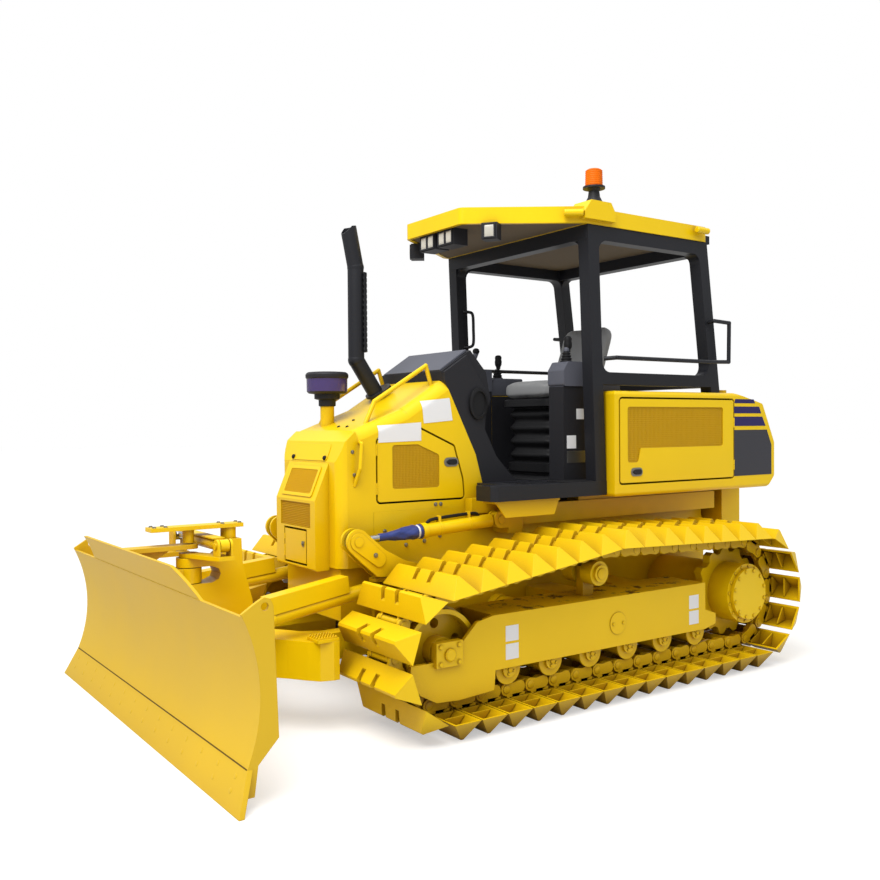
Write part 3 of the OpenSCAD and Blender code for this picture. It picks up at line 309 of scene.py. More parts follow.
def add(tree, kind, settings=(), **values):
    """A node with plain settings as attributes and constants on its sockets."""
    node = tree.nodes.new("ShaderNode" + kind)
    for key, value in dict(settings).items():
        setattr(node, key, value)
    for key, value in values.items():
        node.inputs[key.replace("_", " ")].default_value = value
    return node


def wire(tree, *links):
    """Links, each given as a node, its output, the next node and its input."""
    for source, output, target, socket in links:
        tree.links.new(source.outputs[output], target.inputs[socket])


film, film_in, film_out = node_group(
    "paint_film", [("Color", "Color"), ("Roughness", "Float"), ("Edge", "Float"), ("Peel", "Float")],
    [("Color", "Color"), ("Roughness", "Float"), ("Normal", "Vector")])
place = add(film, "TexCoord")
drift = add(film, "TexNoise", Scale=2.2, Detail=3.0)
tone = add(film, "MapRange", To_Min=0.93, To_Max=1.05)
tint = add(film, "HueSaturation")
gloss = add(film, "MapRange", To_Min=0.88, To_Max=1.14)
rough = add(film, "Math", {"operation": "MULTIPLY"})
skin = add(film, "TexNoise", Scale=420.0, Detail=1.0)
edge = add(film, "Bevel", {"samples": 6})
peel = add(film, "Bump", Distance=0.0006)
wire(film, (place, "Object", drift, "Vector"), (drift, "Fac", tone, "Value"), (tone, "Result", tint, "Value"),
     (film_in, "Color", tint, "Color"), (drift, "Fac", gloss, "Value"), (gloss, "Result", rough, 0),
     (film_in, "Roughness", rough, 1), (place, "Object", skin, "Vector"), (film_in, "Edge", edge, "Radius"),
     (edge, "Normal", peel, "Normal"), (skin, "Fac", peel, "Height"), (film_in, "Peel", peel, "Strength"),
     (tint, "Color", film_out, "Color"), (rough, "Value", film_out, "Roughness"),
     (peel, "Normal", film_out, "Normal"))

stain, stain_in, stain_out = node_group(
    "top_stains", [("Scale", "Float"), ("Limit", "Float")], [("Mask", "Float")])
spot = add(stain, "TexCoord")
lean = add(stain, "NewGeometry")
parts = add(stain, "SeparateXYZ")
blots = add(stain, "TexNoise", Detail=5.0, Roughness=0.7)
cut = add(stain, "MapRange", To_Max=1.0)
band = add(stain, "Math", {"operation": "ADD"})
band.inputs[1].default_value = 0.06
up = add(stain, "MapRange", From_Min=0.7, From_Max=0.95)
mask = add(stain, "Math", {"operation": "MULTIPLY"})
wire(stain, (spot, "Object", blots, "Vector"), (stain_in, "Scale", blots, "Scale"),
     (blots, "Fac", cut, "Value"), (stain_in, "Limit", cut, "From Min"), (stain_in, "Limit", band, 0),
     (band, "Value", cut, "From Max"),
     (lean, "Normal", parts, "Vector"), (parts, "Z", up, "Value"), (cut, "Result", mask, 0),
     (up, "Result", mask, 1), (mask, "Value", stain_out, "Mask"))

# Painted shade: ambient occlusion finds nooks and recesses, and this mask darkens the paint there, in place
# of the shade that falls in them.
nook, nook_in, nook_out = node_group(
    "nook_painted_shade", [("Reach", "Float"), ("Amount", "Float")], [("Mask", "Float")])
shut = add(nook, "AmbientOcclusion", {"samples": 6})
deep = add(nook, "MapRange", From_Min=0.95, From_Max=0.25)
share = add(nook, "Math", {"operation": "MULTIPLY"})
wire(nook, (nook_in, "Reach", shut, "Distance"), (shut, "AO", deep, "Value"), (deep, "Result", share, 0),
     (nook_in, "Amount", share, 1), (share, "Value", nook_out, "Mask"))
print("groups:", [g.name for g in bpy.data.node_groups])

# %% [markdown]
# A finish is a colour, a roughness and a few other values on that film. The frame already has a material
# for each slot of the machine's record, so a finish of the same name takes it over, and the plain solids
# change with it.


# %% Paints, metals and plastics
def linear(*srgb):
    """Screen colour from 0 to 255 as linear light."""
    c = np.array(srgb) / 255
    return (*np.where(c <= 0.04045, c / 12.92, ((c + 0.055) / 1.055) ** 2.4).tolist(), 1.0)


# SOIL is the colour of real stains; the second colour is painted shade, the brown that nooks and recesses are
# darkened towards.
SOIL, NOOK_SHADE_BROWN = linear(74, 48, 28), linear(120, 74, 8)


def finish_of(name, slot, color, roughness, metal=0.0, coat=0.0, edge_radius=0.003, bump=0.06, stains=0.0,
              shine=0.28, nook_shade=0.0, **extra):
    """A material on the paint film; slot is not used; extra names other sockets of the surface."""
    material = bpy.data.materials.get(name) or bpy.data.materials.new(name)
    material.use_nodes = True
    tree = material.node_tree
    tree.nodes.clear()
    surface = add(tree, "BsdfPrincipled", Metallic=metal, Coat_Weight=coat, Coat_Roughness=0.12, **extra)
    surface.inputs["Specular IOR Level"].default_value = shine
    layer = add(tree, "Group", {"node_tree": film}, Color=color, Roughness=roughness, Edge=edge_radius,
                Peel=bump)
    source, output = layer, "Color"
    # The first mask lays real stains; the second darkens nooks with painted shade.
    for amount, group, stain_and_shade_colour, values in ((stains, stain, SOIL, {"Scale": 9.0, "Limit": stains}),
                                        (nook_shade, nook, NOOK_SHADE_BROWN, {"Reach": 0.16, "Amount": nook_shade})):
        if amount:
            cover = add(tree, "Group", {"node_tree": group}, **values)
            blend = add(tree, "Mix", {"data_type": "RGBA"})
            blend.inputs[7].default_value = stain_and_shade_colour
            wire(tree, (cover, "Mask", blend, 0), (source, output, blend, 6))
            source, output = blend, 2
    out = tree.nodes.new("ShaderNodeOutputMaterial")
    wire(tree, (source, output, surface, "Base Color"), (layer, "Roughness", surface, "Roughness"),
         (layer, "Normal", surface, "Normal"), (surface, "BSDF", out, "Surface"))
    return material


# On the four yellows below, the last value sets how much painted shade darkens their nooks.
yellow = finish_of("yellow_paint", "yellow_paint", linear(250, 209, 4), 0.34, coat=0.12, nook_shade=0.6)
# The blade's yellow is the machine's paint made duller and tan: the tan is a painted reflection of the pale
# ground on the blade's face.
reflected_tan = finish_of("blade_paint_reflected_ground", "yellow_paint", linear(228, 186, 34), 0.46, coat=0.05, nook_shade=0.4)
frame_yellow = finish_of("frame_paint", "yellow_paint", linear(246, 203, 8), 0.4, coat=0.08, stains=0.56,
                         nook_shade=0.8)
track_yellow = finish_of("track_paint", "yellow_paint", linear(246, 204, 8), 0.4, coat=0.08, nook_shade=0.8)
gold = finish_of("screen_paint", "yellow_paint", linear(224, 178, 20), 0.5, edge_radius=0.0005)
# A dark brown for the painted shadow under the step at the top of the blade's worn edge.
edge_shadow_brown = finish_of("edge_shadow_brown", "yellow_paint", linear(92, 66, 18), 0.7, edge_radius=0.0005)
charcoal = finish_of("dark_paint", "dark_paint", linear(33, 34, 39), 0.42, coat=0.06)
stripe_blue = finish_of("stripe_blue", "dark_paint", linear(46, 38, 96), 0.4, edge_radius=0.0002)
panel_grey = finish_of("panel_grey", "dark_paint", linear(62, 62, 68), 0.42, edge_radius=0.0002)
black = finish_of("dark_plastic", "dark_plastic", linear(38, 38, 42), 0.5)
rubber = finish_of("hose_rubber", "dark_plastic", linear(24, 24, 26), 0.55)
lining = finish_of("headliner", "dark_plastic", linear(112, 100, 84), 0.9, bump=0.3)
blue_cloth = finish_of("blue_cloth", "dark_plastic", linear(38, 56, 128), 0.4, bump=0.3, shine=0.6)
tie_white = finish_of("tie_white", "dark_plastic", linear(226, 228, 232), 0.6)
bowl_violet = finish_of("bowl_violet", "dark_plastic", linear(84, 68, 124), 0.12, coat=0.6, IOR=1.45,
                        Transmission_Weight=0.3)
grey = finish_of("grey_plastic", "grey_plastic", linear(92, 94, 104), 0.5)
paper = finish_of("paper", "grey_plastic", linear(240, 241, 243), 0.6, edge_radius=0.0002)
lens = finish_of("lamp_lens", "grey_plastic", linear(206, 202, 190), 0.08, coat=1.0, edge_radius=0.001)
zinc = finish_of("bolt_zinc", "steel", linear(150, 148, 142), 0.34, metal=0.9, edge_radius=0.001)
vinyl = finish_of("vinyl", "vinyl", linear(150, 151, 152), 0.45, bump=0.2)
amber = finish_of("amber", "amber", linear(255, 120, 2), 0.5, Transmission_Weight=0.2, IOR=1.45, shine=0.1)
finish_of("steel", "steel", linear(196, 198, 202), 0.2, metal=1.0, bump=0.01)
finish_of("cast", "cast", linear(80, 80, 84), 0.7, metal=0.6)
# The blade and its worn edge take the tan copy of the yellow, with its painted reflection of the ground.
for node, material in (("blade", reflected_tan), ("cutting_edge", reflected_tan), ("track_frame_left", frame_yellow),
                       ("track_frame_right", frame_yellow)):
    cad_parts[node].data.materials[0] = material
print(len(bpy.data.materials), "materials")

# %% [markdown]
# ## From a shape to a piece
# A piece is a mesh that rides on one of the machine's bodies, so that it moves with a door or a blade.
# Faces are turned outwards once here, so that no shape maker has to care about their order.


# %% Putting a shape on the machine
def piece(name, shape, *materials, body="chassis", slot=None, smooth=None, pick=None):
    """A mesh object from a shape in millimetres, riding on a body; pick numbers each face's material."""
    points, faces = shape
    mesh = bpy.data.meshes.new(name)
    mesh.from_pydata(metres(points).tolist(), [], faces)
    for material in materials:
        mesh.materials.append(material)
    if pick is not None:
        mesh.polygons.foreach_set("material_index", np.asarray(pick, np.int32))
    shell = bmesh.new()
    shell.from_mesh(mesh)
    bmesh.ops.recalc_face_normals(shell, faces=shell.faces)
    shell.to_mesh(mesh)
    shell.free()
    if smooth is not None:
        mesh.shade_smooth()
        mesh.set_sharp_from_angle(angle=np.radians(smooth))
    thing = bpy.data.objects.new(name, mesh)
    bpy.context.scene.collection.objects.link(thing)
    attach(thing, body)
    print(name, len(points), "points,", len(faces), "faces on", body)
    return thing


# %% [markdown]
# ## The tracks
# The link pins run straight along the ground, round the idler, up to the carrier roller, down to the
# sprocket and round it. A chain modifier on a curve could lay the shoes along it too, but its copies bend
# with the curve, and steel shoes don't.

# %% Path of the link pins
tip_h, foot_h, rail_h, rail_in, rail_out = 130.0, 42.0, 40.0, 62.0, 97.0
shoe_half, ridge_half, wanted_pitch, sheet = 300.0, 250.0, 154.0, 13.0
ix = round((wheel_front[0] - datum) * 1000, 1)
idler_z, sprocket_z, track_y = round(wheel_front[2] * 1000, 1), 420.0, 788.0
carrier = np.array([68.0, 748.0])


def tangent(centre, radius, sign):
    """Angle at which the line from the carrier roller touches a wheel of that radius."""
    d = carrier - centre
    return np.arctan2(d[1], d[0]) + sign * np.arccos(radius / np.hypot(*d))


def pin_line():
    """Straight, arc, two straights and arc: at equal steps s, the place (x, z) and the outward angle a."""
    down, last = -np.pi / 2, 1.5 * np.pi
    r1, r2 = idler_z - tip_h, sprocket_z - tip_h
    c1, c2 = np.array([ix, idler_z]), np.array([-ix, sprocket_z])
    a1, a2 = tangent(c1, r1, -1), tangent(c2, r2, 1)
    t1 = c1 + r1 * np.array([np.cos(a1), np.sin(a1)])
    t2 = c2 + r2 * np.array([np.cos(a2), np.sin(a2)])
    lengths = [2 * ix, r1 * (a1 - down), np.hypot(*(carrier - t1)), np.hypot(*(t2 - carrier)),
               r2 * (last - a2)]
    ends = np.cumsum([0] + lengths)
    count = round(ends[-1] / wanted_pitch)
    s = np.arange(count) * ends[-1] / count
    part = np.searchsorted(ends[1:], s, side="right")
    f = (s - ends[part]) / np.array(lengths)[part]
    a = np.choose(part, [down + 0 * f, down + f * (a1 - down), a1 + 0 * f, a2 + 0 * f, a2 + f * (last - a2)])
    way = np.stack([np.cos(a), np.sin(a)])
    c1, c2, t1, t2, top = (point[:, None] for point in (c1, c2, t1, t2, carrier))
    x, z = np.choose(part, [np.stack([-ix + f * 2 * ix, tip_h + 0 * f]), c1 + r1 * way, t1 + f * (top - t1),
                            top + f * (t2 - top), c2 + r2 * way])
    return x, z, a, ends[-1] / count


pin_x, pin_z, pin_a, pitch = pin_line()
print(len(pin_x), "shoes at a pitch of", round(pitch, 2), "mm")

# %% [markdown]
# A swamp shoe is a steel plate bent to a ridge, closed by a slanting plate at each end and open towards
# the links. Two notches cross the ridge so that a socket reaches the bolts. One shoe is a grid: its rows
# run over the ridge, its columns across the track, and a notch is a pair of columns whose ridge points
# drop down the slope.


# %% One shoe with its links, copied round the track
def shoe_shell(inset, tip, columns, notch):
    """Ridge surface: rows at t = -L, -l, l, L with heights foot, tip, tip, foot; a notched column's tip drops
    down the slope by notch, and the end columns lean in by the share of height that they have climbed."""
    half = pitch * 0.485 - inset
    flat = max(7 - inset * 0.5, 1.0)
    y, notched = np.array(columns, float).T
    deep = notched * notch
    top_t = flat + (half - flat) * deep / (tip - foot_h)
    t = np.stack([-half + 0 * y, -top_t, top_t, half + 0 * y])
    h = np.stack([foot_h + 0 * y, tip - deep, tip - deep, foot_h + 0 * y])
    lean = (shoe_half - ridge_half) * (h - foot_h) / (tip_h - foot_h)
    across = np.where(np.abs(y) > ridge_half, np.sign(y) * (np.abs(y) - lean), y)
    return np.stack([t, across, h], -1)


def one_shoe():
    """Outer and inner shell, their end plates, the rims that join them and four ribs."""
    columns = [(-shoe_half, 0), (-78, 0), (-76, 1), (-44, 1), (-42, 0), (42, 0), (44, 1), (76, 1), (78, 0),
               (shoe_half, 0)]
    inside = [(-shoe_half + sheet, 0), (shoe_half - sheet, 0)]
    points, faces = join(grid(shoe_shell(0, tip_h, columns, 46)),
                         grid(shoe_shell(sheet, tip_h - sheet * 1.6, inside, 0)))
    n = len(columns)
    base = 4 * n
    for column in (0, n - 1):
        faces.append([row * n + column for row in range(4)])
    for column in (0, 1):
        faces.append([base + row * 2 + column for row in range(4)])
    for row in (0, 3):
        faces.append([row * n + k for k in range(n)] + [base + row * 2 + 1, base + row * 2])
    for column, other in ((0, 0), (n - 1, 1)):
        faces.append([column, 3 * n + column, base + 6 + other, base + other])
    rib = [(-pitch * 0.485 + 20, foot_h), (pitch * 0.485 - 20, foot_h), (0, tip_h - 26)]
    return join((points, faces), *[plate(rib, "y", y - 4, y + 4) for y in (-190, -105, 105, 190)])


def strap(t0, t1, y0, y1, radius=33, thick_head=38):
    """A link plate with a round eye at each end, a waist below and a flat head under the shoe."""
    arc = np.linspace(np.pi / 2, 1.5 * np.pi, 9)
    left = np.stack([t0 + radius * np.cos(arc), radius * np.sin(arc)], 1)
    right = np.stack([t1 - radius * np.cos(arc), -radius * np.sin(arc)], 1)
    mid = (t0 + t1) / 2
    head = [(mid + thick_head, foot_h), (mid - thick_head, foot_h)]
    return plate(np.concatenate([left, [(mid, -rail_h + 14)], right, head]), "y", y0, y1)


def one_link():
    """Two cranked link plates, the pin that joins them to the next pair and the bush round it."""
    half = pitch / 2
    straps = [strap(-half, 8, rail_in, rail_in + 17), strap(-8, half, rail_out - 17, rail_out)]
    pin_end = [(14, rail_out - 6), (20, rail_out - 5), (20, rail_out + 3), (12, rail_out + 5)]
    pin = lathe(pin_end, (half, 0, 0), OUT, 14)
    bush = lathe([(30, -rail_in), (30, rail_in)], (half, 0, 0), OUT, 14)
    foot = block(-40, 40, rail_in, rail_out, foot_h - 14, foot_h)
    return join(both(join(*straps, pin, foot)), bush)


turns = np.zeros((len(pin_a), 3, 3))
turns[:, 1, 1] = 1
turns[:, 0, 0], turns[:, 2, 0] = -np.sin(pin_a), np.cos(pin_a)
turns[:, 0, 2], turns[:, 2, 2] = np.cos(pin_a), np.sin(pin_a)
pins = np.stack([pin_x, np.full(len(pin_x), track_y), pin_z], 1)
loop = copies(join(one_shoe(), one_link()), pins, turns)
for side in SIDES:
    track = piece("shoes_" + side, handed(loop, side), track_yellow, smooth=30)
    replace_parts(track, "track_" + side)

# %% [markdown]
# ## Bolts on the running gear
# The hub cover, the idler blocks and the roller ends are held by rings and rows of bolts. A bolt is
# copied onto a bolt circle: the angle runs through equal shares of a turn.

# %% Running gear bolts
hub_face, hub_rim, yoke_face, cover_face, roller_face, roller_z = 980, 956, 955, 938, 915, 235
hub = join(bolts(circle_spots(-ix, sprocket_z, hub_face, 136, 12, 0.26), OUT, 10),
           bolts(circle_spots(-ix, sprocket_z, hub_rim, 162, 16, 0.1), OUT, 8))
yoke = bolts([(ix + dx, yoke_face, idler_z + dz) for dx in (-52, 52) for dz in (-38, 42)], OUT, 11)
cap = lathe([(30, 0), (30, 8), (24, 14), (10, 14)], (ix, yoke_face, idler_z), OUT, 20)
cover = bolts([(x, cover_face, 372) for x in (-66, 6)], OUT, 8)
roller_x = 687.5 - 275 * np.arange(6)
ring = np.concatenate([circle_spots(x, roller_z, roller_face, 24, 4, 0.4) for x in roller_x])
plugs = [lathe([(14, 0), (14, 4), (8, 7)], (x, roller_face, roller_z), OUT, 14) for x in roller_x]
carrier_cap = lathe([(30, 0), (30, 5), (20, 9)], (carrier[0], roller_face, 640), OUT, 20)
gear = join(hub, yoke, cap, cover, bolts(ring, OUT, 6), *plugs, carrier_cap)
piece("gear_bolts", both(gear), frame_yellow, smooth=30)

# %% [markdown]
# ## Wire screens
# The doors carry fine wire cloth so that air gets in and leaves stay out. Real cloth is woven; from a
# step away its look comes from two families of thin bars. Each bar is cut to the outline by finding where
# its line enters and leaves it, which a boolean would do far more slowly. The nose box has a second
# window on its sloping face.


# %% Screens on the doors and the nose
def spans(outline, value, u):
    """Where the line at that value of coordinate u lies inside an outline: its crossings, taken in pairs."""
    p = np.asarray(outline, float)
    q = np.roll(p, -1, axis=0)
    v = 1 - u
    hit = (p[:, u] > value) != (q[:, u] > value)
    f = (value - p[hit, u]) / (q[hit, u] - p[hit, u])
    return np.sort(p[hit, v] + f * (q[hit, v] - p[hit, v])).reshape(-1, 2)


def screen(outline, gap, width):
    """Bars of a square mesh inside an outline, drawn in (u, v, depth); the second family lies higher."""
    p = np.asarray(outline, float)
    bars = []
    for u in (0, 1):
        lift = u * width * 0.6
        for value in np.arange(p[:, u].min() + gap / 2, p[:, u].max(), gap):
            for start, stop in spans(p, value, u):
                rect = rectangle(value - width / 2, value + width / 2, start, stop)
                bars.append(plate([c[::-1] for c in rect] if u else rect, "z", lift, lift + width))
    return join(*bars)


engine_mesh = [(985, 1095), (985, 1322), (828, 1324), (690, 1266), (690, 1093)]
side_mesh = [(-335, 1205), (-420, 1205), (-440, 1285), (-1165, 1285), (-1165, 1520), (-335, 1520)]
for side in SIDES:
    for name, outline, gap, width, y in (("engine", engine_mesh, 9, 2.4, 323),
                                         ("side", side_mesh, 11, 2.6, 711)):
        cloth = on_side(screen(outline, gap, width), y)
        piece(f"{name}_screen_{side}", handed(cloth, side), gold, body=f"{name}_door_{side}")
piece("nose_screen", on_front(screen(rectangle(-170, 170, 905, 1030), 9, 2.4), 1371), gold)
slope = along((1376, 0, 1052), (1304, 0, 1226))
window = (28, 158, -150, 150)
glass_line = round_corners(*window, 10)
window_frame = border(round_corners(10, 176, -172, 172, 16), glass_line, 0, 6)
wires = screen(rectangle(*window), 9, 2.4)
backed = join(plate(glass_line, "z", 0, 1.6), (wires[0] + [0, 0, 1.4], wires[1]))
piece("nose_slope_frame", set_in(window_frame, slope), yellow, smooth=30)
piece("nose_slope_screen", set_in(backed, slope), gold)

# %% [markdown]
# Above the nose box a flat cover closes the front of the hood, with a rubber buffer at each lower corner.
# It is a plate with round corners; the step at its rim is what draws the line that the eye sees.

# %% Front cover and buffers
brow = along((1300, 0, 1240), (1262, 0, 1345))
piece("nose_cover", set_in(plate(round_corners(5, 97, -200, 200, 18), "z", -1, 3), brow), yellow, smooth=30)
buffers = [lathe([(12, 2), (12, 9), (9, 13)], (20, y, 0), sides=18) for y in (-176, 176)]
piece("nose_buffers", set_in(join(*buffers), brow), rubber, smooth=40)

# %% [markdown]
# ## Bolts and latches on the panels
# Panels are held by a few bolts with wide washers, and doors by sunk paddle latches.


# %% Panel bolts and latches
def latch(x, y, z, wide=46, tall=24):
    """An oval cup, and in it a sunk paddle with a key barrel, drawn on a face across y."""
    cup = plate(stadium((x - wide / 2, z), (x + wide / 2, z), tall), "y", y, y + 3)
    pad_of = plate(stadium((x - wide / 2, z), (x + wide / 4, z), tall * 0.62), "y", y + 3, y + 6)
    barrel = lathe([(9, 0), (9, 5), (6, 6)], (x + wide / 2, y + 3, z), OUT, 16)
    return cup, join(pad_of, barrel)


hood_y, body_y = 330, 720
hull_spots = [(1035, 880), (905, 800), (790, 812), (690, 832), (716, 1002), (682, 1002)]
grab_spots = [(1222, 1292), (1212, 1176)]
for name, places, size in (("hull_bolts", hull_spots, 9), ("grab_bolts", grab_spots, 8)):
    piece(name, both(bolts([(x, hood_y, z) for x, z in places], OUT, size)), zinc, smooth=30)
top_rise, top_run = 110, 295
top_places = ((1150, 150), (1150, 60), (1060, 60), (1060, 190))
top_spots = [(x, y, 1400 + (1200 - x) * top_rise / top_run) for x, y in top_places]
piece("hood_bolts", bolts(top_spots, (top_rise, 0, top_run), 8), black, smooth=30)
for side in SIDES:
    for name, place_of in (("engine", (612, hood_y, 1225)), ("side", (-405, body_y, 1150))):
        cup, paddle = latch(*place_of)
        pick = [0] * len(cup[1]) + [1] * len(paddle[1])
        piece(f"{name}_latch_{side}", handed(join(cup, paddle), side), zinc, black,
              body=f"{name}_door_{side}", smooth=40, pick=pick)
key = join(plate([(-8, 0), (8, 0), (13, 26), (-13, 26)], "z", 0, 5),
           lathe([(7, 5), (7, 9), (4, 10)], (0, 14, 0), sides=16))
piece("nose_latch", on_front(key, 1380, 92, 805), zinc, body="nose_door", smooth=40)

# %% [markdown]
# The two papers on the hood are blank here. They follow the hood's shoulder, a flat side that turns into
# an arc, so a paper's y is found from how deep each of its points lies below the hood's top line.

# %% Papers on the hood
hood_line = np.array([(650, 1665), (905, 1510), (1200, 1400)], float)


def hood_side(x, z, r=70.0):
    """y of the hood's left side: with q the depth below the top line, square to it, y is 330 on the flat and
    330 - r + sqrt((1.02 r)^2 - (r - q)^2) on the shoulder above, whichever is less."""
    top = np.interp(x, hood_line[:, 0], hood_line[:, 1])
    grade = np.where(x > 905, top_rise / top_run, 155 / 255)
    q = np.clip((top - z) / np.hypot(1, grade), 0, r)
    return np.minimum(hood_y, hood_y - r + np.sqrt((1.02 * r) ** 2 - (r - q) ** 2))


def hood_paper(corners):
    """A sheet 0.8 mm thick on the hood: (x, z) blends four corners and y follows the hood's side."""
    u, w = np.meshgrid(np.linspace(0, 1, 14), np.linspace(0, 1, 14), indexing="ij")
    shares = np.stack([(1 - u) * (1 - w), u * (1 - w), u * w, (1 - u) * w])
    x, z = np.einsum("kij,kc->cij", shares, np.asarray(corners, float))
    y = hood_side(x, z)
    return slab(np.stack([x, y + 1.4, z], -1), np.stack([x, y + 0.6, z], -1))


front_paper = hood_paper([(1070, 1336), (806, 1343), (806, 1440), (1068, 1424)])
piece("paper_front", front_paper, paper, body="engine_door_left", smooth=40)
piece("paper_rear", hood_paper([(788, 1434), (601, 1449), (621, 1570), (800, 1552)]), paper, smooth=40)

# %% [markdown]
# ## Stripes on the rear body
# Three stripes and a dark field lean with the tail. They are foils, so each is a plate a millimetre
# thick; as a texture they would need a map for one body only.

# %% Stripes and dark field
stripes = [[(-1282, 1572), (-1465, 1572), (-1478, 1547), (-1274, 1547)],
           [(-1272, 1526), (-1520, 1526), (-1541, 1484), (-1272, 1484)],
           [(-1272, 1463), (-1552, 1463), (-1585, 1405), (-1272, 1405)]]
field = [(-1272, 1380), (-1598, 1380), (-1645, 1284), (-1645, 1094), (-1272, 1094)]
piece("stripes", both(join(*[plate(s, "y", body_y, body_y + 1) for s in stripes])), stripe_blue)
piece("dark_fields", both(plate(field, "y", body_y, body_y + 1)), panel_grey)

# %% [markdown]
# ## Blade details
# The worn edge is bolted on with plough bolts whose heads lie flush with the face. A weld runs across the
# blade where the raised middle joins the mouldboard, and a dark brown line, a painted shadow, lies where
# the edge meets it. Both follow the hollow, a circle of 698 mm, so their x comes from z.

# %% Plough bolts, weld and painted shadow line
edge_slope, edge_top = 0.4195, 150
heads = [(2179.3 + (edge_top - z) * edge_slope, y, z)
         for z in (62, 112) for y in np.linspace(-1130, 1130, 14)]
plough = facing(lathe([(11, -4), (11, 0.6), (9, 1.2)], sides=14), heads, (1, 0, edge_slope))
piece("plough_bolts", plough, reflected_tan, body="blade", smooth=30)


def face_x(z):
    """x of the blade's hollow face at height z."""
    return 2823 - np.sqrt(698.0 ** 2 - (z - 420) ** 2)


def face_bead(half, count, z, wave, radius):
    """A bead across the face at height z, from -half to half in y, with a ripple in its height."""
    y = np.linspace(-half, half, count)
    return tube(np.stack([face_x(z) + 0 * y, y, z + wave * np.sin(y * 0.9)], 1), radius, 8)


piece("blade_weld", face_bead(770, 120, 720, 1.2, 3.2), reflected_tan, body="blade", smooth=50)
# A dark brown tube along the top of the worn edge: a painted shadow of the step where the edge stands proud.
piece("edge_shadow_line", face_bead(1198, 60, 151, 0, 2.6), edge_shadow_brown, body="blade", smooth=50)
link_top = [(x, y, 945) for x in (1700, 1790, 2075, 2130) for y in (-26, 26)]
piece("link_bolts", bolts(link_top, (0, 0, 1), 9), zinc, body="pitch_link", smooth=30)

# %% [markdown]
# ## Cloth sleeves on the cylinders
# For shipping, the polished rods are wrapped in blue cloth tied with white tape. A wrap is a tube whose
# radius falls from the cylinder's head to the thin end, with folds that spiral round it: each fold is a
# sine of the angle plus a share of the length, and the folds fade where the tape holds the cloth.

# %% Sleeves
ROWS, SPOKES, TIE, TAPE = 48, 44, 0.78, 0.085


def sleeve(start, stop, wide, narrow):
    """P(s, a) = (x(s), r cos a, r sin a), r = narrow + slack(s) (1 + f(s) folds(s, a)). The slack falls from
    wide to nothing at the tie, where the cloth meets the rod; the folds are three sines that spiral along it,
    and f = sin(pi s)^0.6 fades them at the ends and under the tape, which is rows 3 and 4."""
    s = np.linspace(0, 1, ROWS)[:, None]
    a = circle(SPOKES)[None]
    folds = (0.12 + 0.26 * np.sin(3 * a + 9 * s) + 0.15 * np.sin(5 * a - 15 * s)
             + 0.06 * np.sin(11 * a + 33 * s))
    fade = np.maximum(np.sin(np.pi * s), 0) ** 0.6 * np.clip(np.abs(s - TAPE) / 0.06, 0.1, 1)
    waist = 1 - 0.16 * np.exp(-((s - TAPE) / 0.03) ** 2)
    slack = (wide - narrow) * np.clip(1 - s / TIE, 0, 1) ** 0.75 * waist
    r = narrow + slack * (1 + fade * folds)
    x = start + (stop - start) * s + 0 * a
    outside, inside = (np.stack([x, q * np.cos(a), q * np.sin(a)], -1) for q in (r, r - 1.5))
    shape = grid(np.concatenate([outside, inside[::-1]]), around=True, ring=True)
    pick = np.zeros(len(shape[1]), int)
    pick[3 * SPOKES:5 * SPOKES] = 1
    return shape, pick


lift_axis = along((380, 435, 909), (1273, 435, 856))
angle_axis = along((1125, 388, 610), (2050, 495, 500))
for name, axis_of, ends, radii, keep in (("lift", lift_axis, (508, 760), (38, 19.8), 0.145),
                                         ("angle", angle_axis, (649, 864), (33, 21.8), 0.03)):
    local, pick = sleeve(*ends, *radii)
    for side in SIDES:
        rod = f"{name}_rod_{side}"
        wrap = piece(f"{name}_sleeve_{side}", handed(set_in(local, axis_of), side), blue_cloth, tie_white,
                     body=rod, smooth=60, pick=pick)
        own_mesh(wrap)

# %% [markdown]
# A steel-braided hose runs along each lift cylinder, held by two bands. It is a tube on a smooth path
# through a few corners, and a band is a hoop, so that the rod can slide through it.

# %% Hoses and bands on the lift cylinders
hose_line = [(128, 34), (150, 50), (220, 54), (330, 54), (420, 52), (450, 46), (464, 36)]
hose = tube(bend([(x, 0, z) for x, z in hose_line]), 9)
band_line = [(35, 0), (38, 1), (38, 15), (35, 16)]
bands = [lathe(band_line, (x, 0, 0), (1, 0, 0), 36, hoop=True) for x in (190, 380)]
saddles = [block(x, x + 16, -13, 13, 34, 66) for x in (190, 380)]
hose_set = set_in(join(hose, *bands, *saddles), lift_axis)
pick = [0] * len(hose[1]) + [1] * (len(hose_set[1]) - len(hose[1]))
for side in SIDES:
    piece("lift_hose_" + side, handed(hose_set, side), rubber, yellow, body="lift_barrel_" + side,
          smooth=40, pick=pick)
piece("lug_bolts", both(bolts([(1178, 476, 784)], OUT, 10)), zinc, body="push_frame", smooth=30)

# %% [markdown]
# ## Step and intake
# The step on the push frame is a grating of toothed bars. Its teeth are a zigzag outline pushed across.
# The intake bowl is clear violet plastic on a black collar and a yellow pipe; it is turned from one
# profile, whose rows carry the three materials.

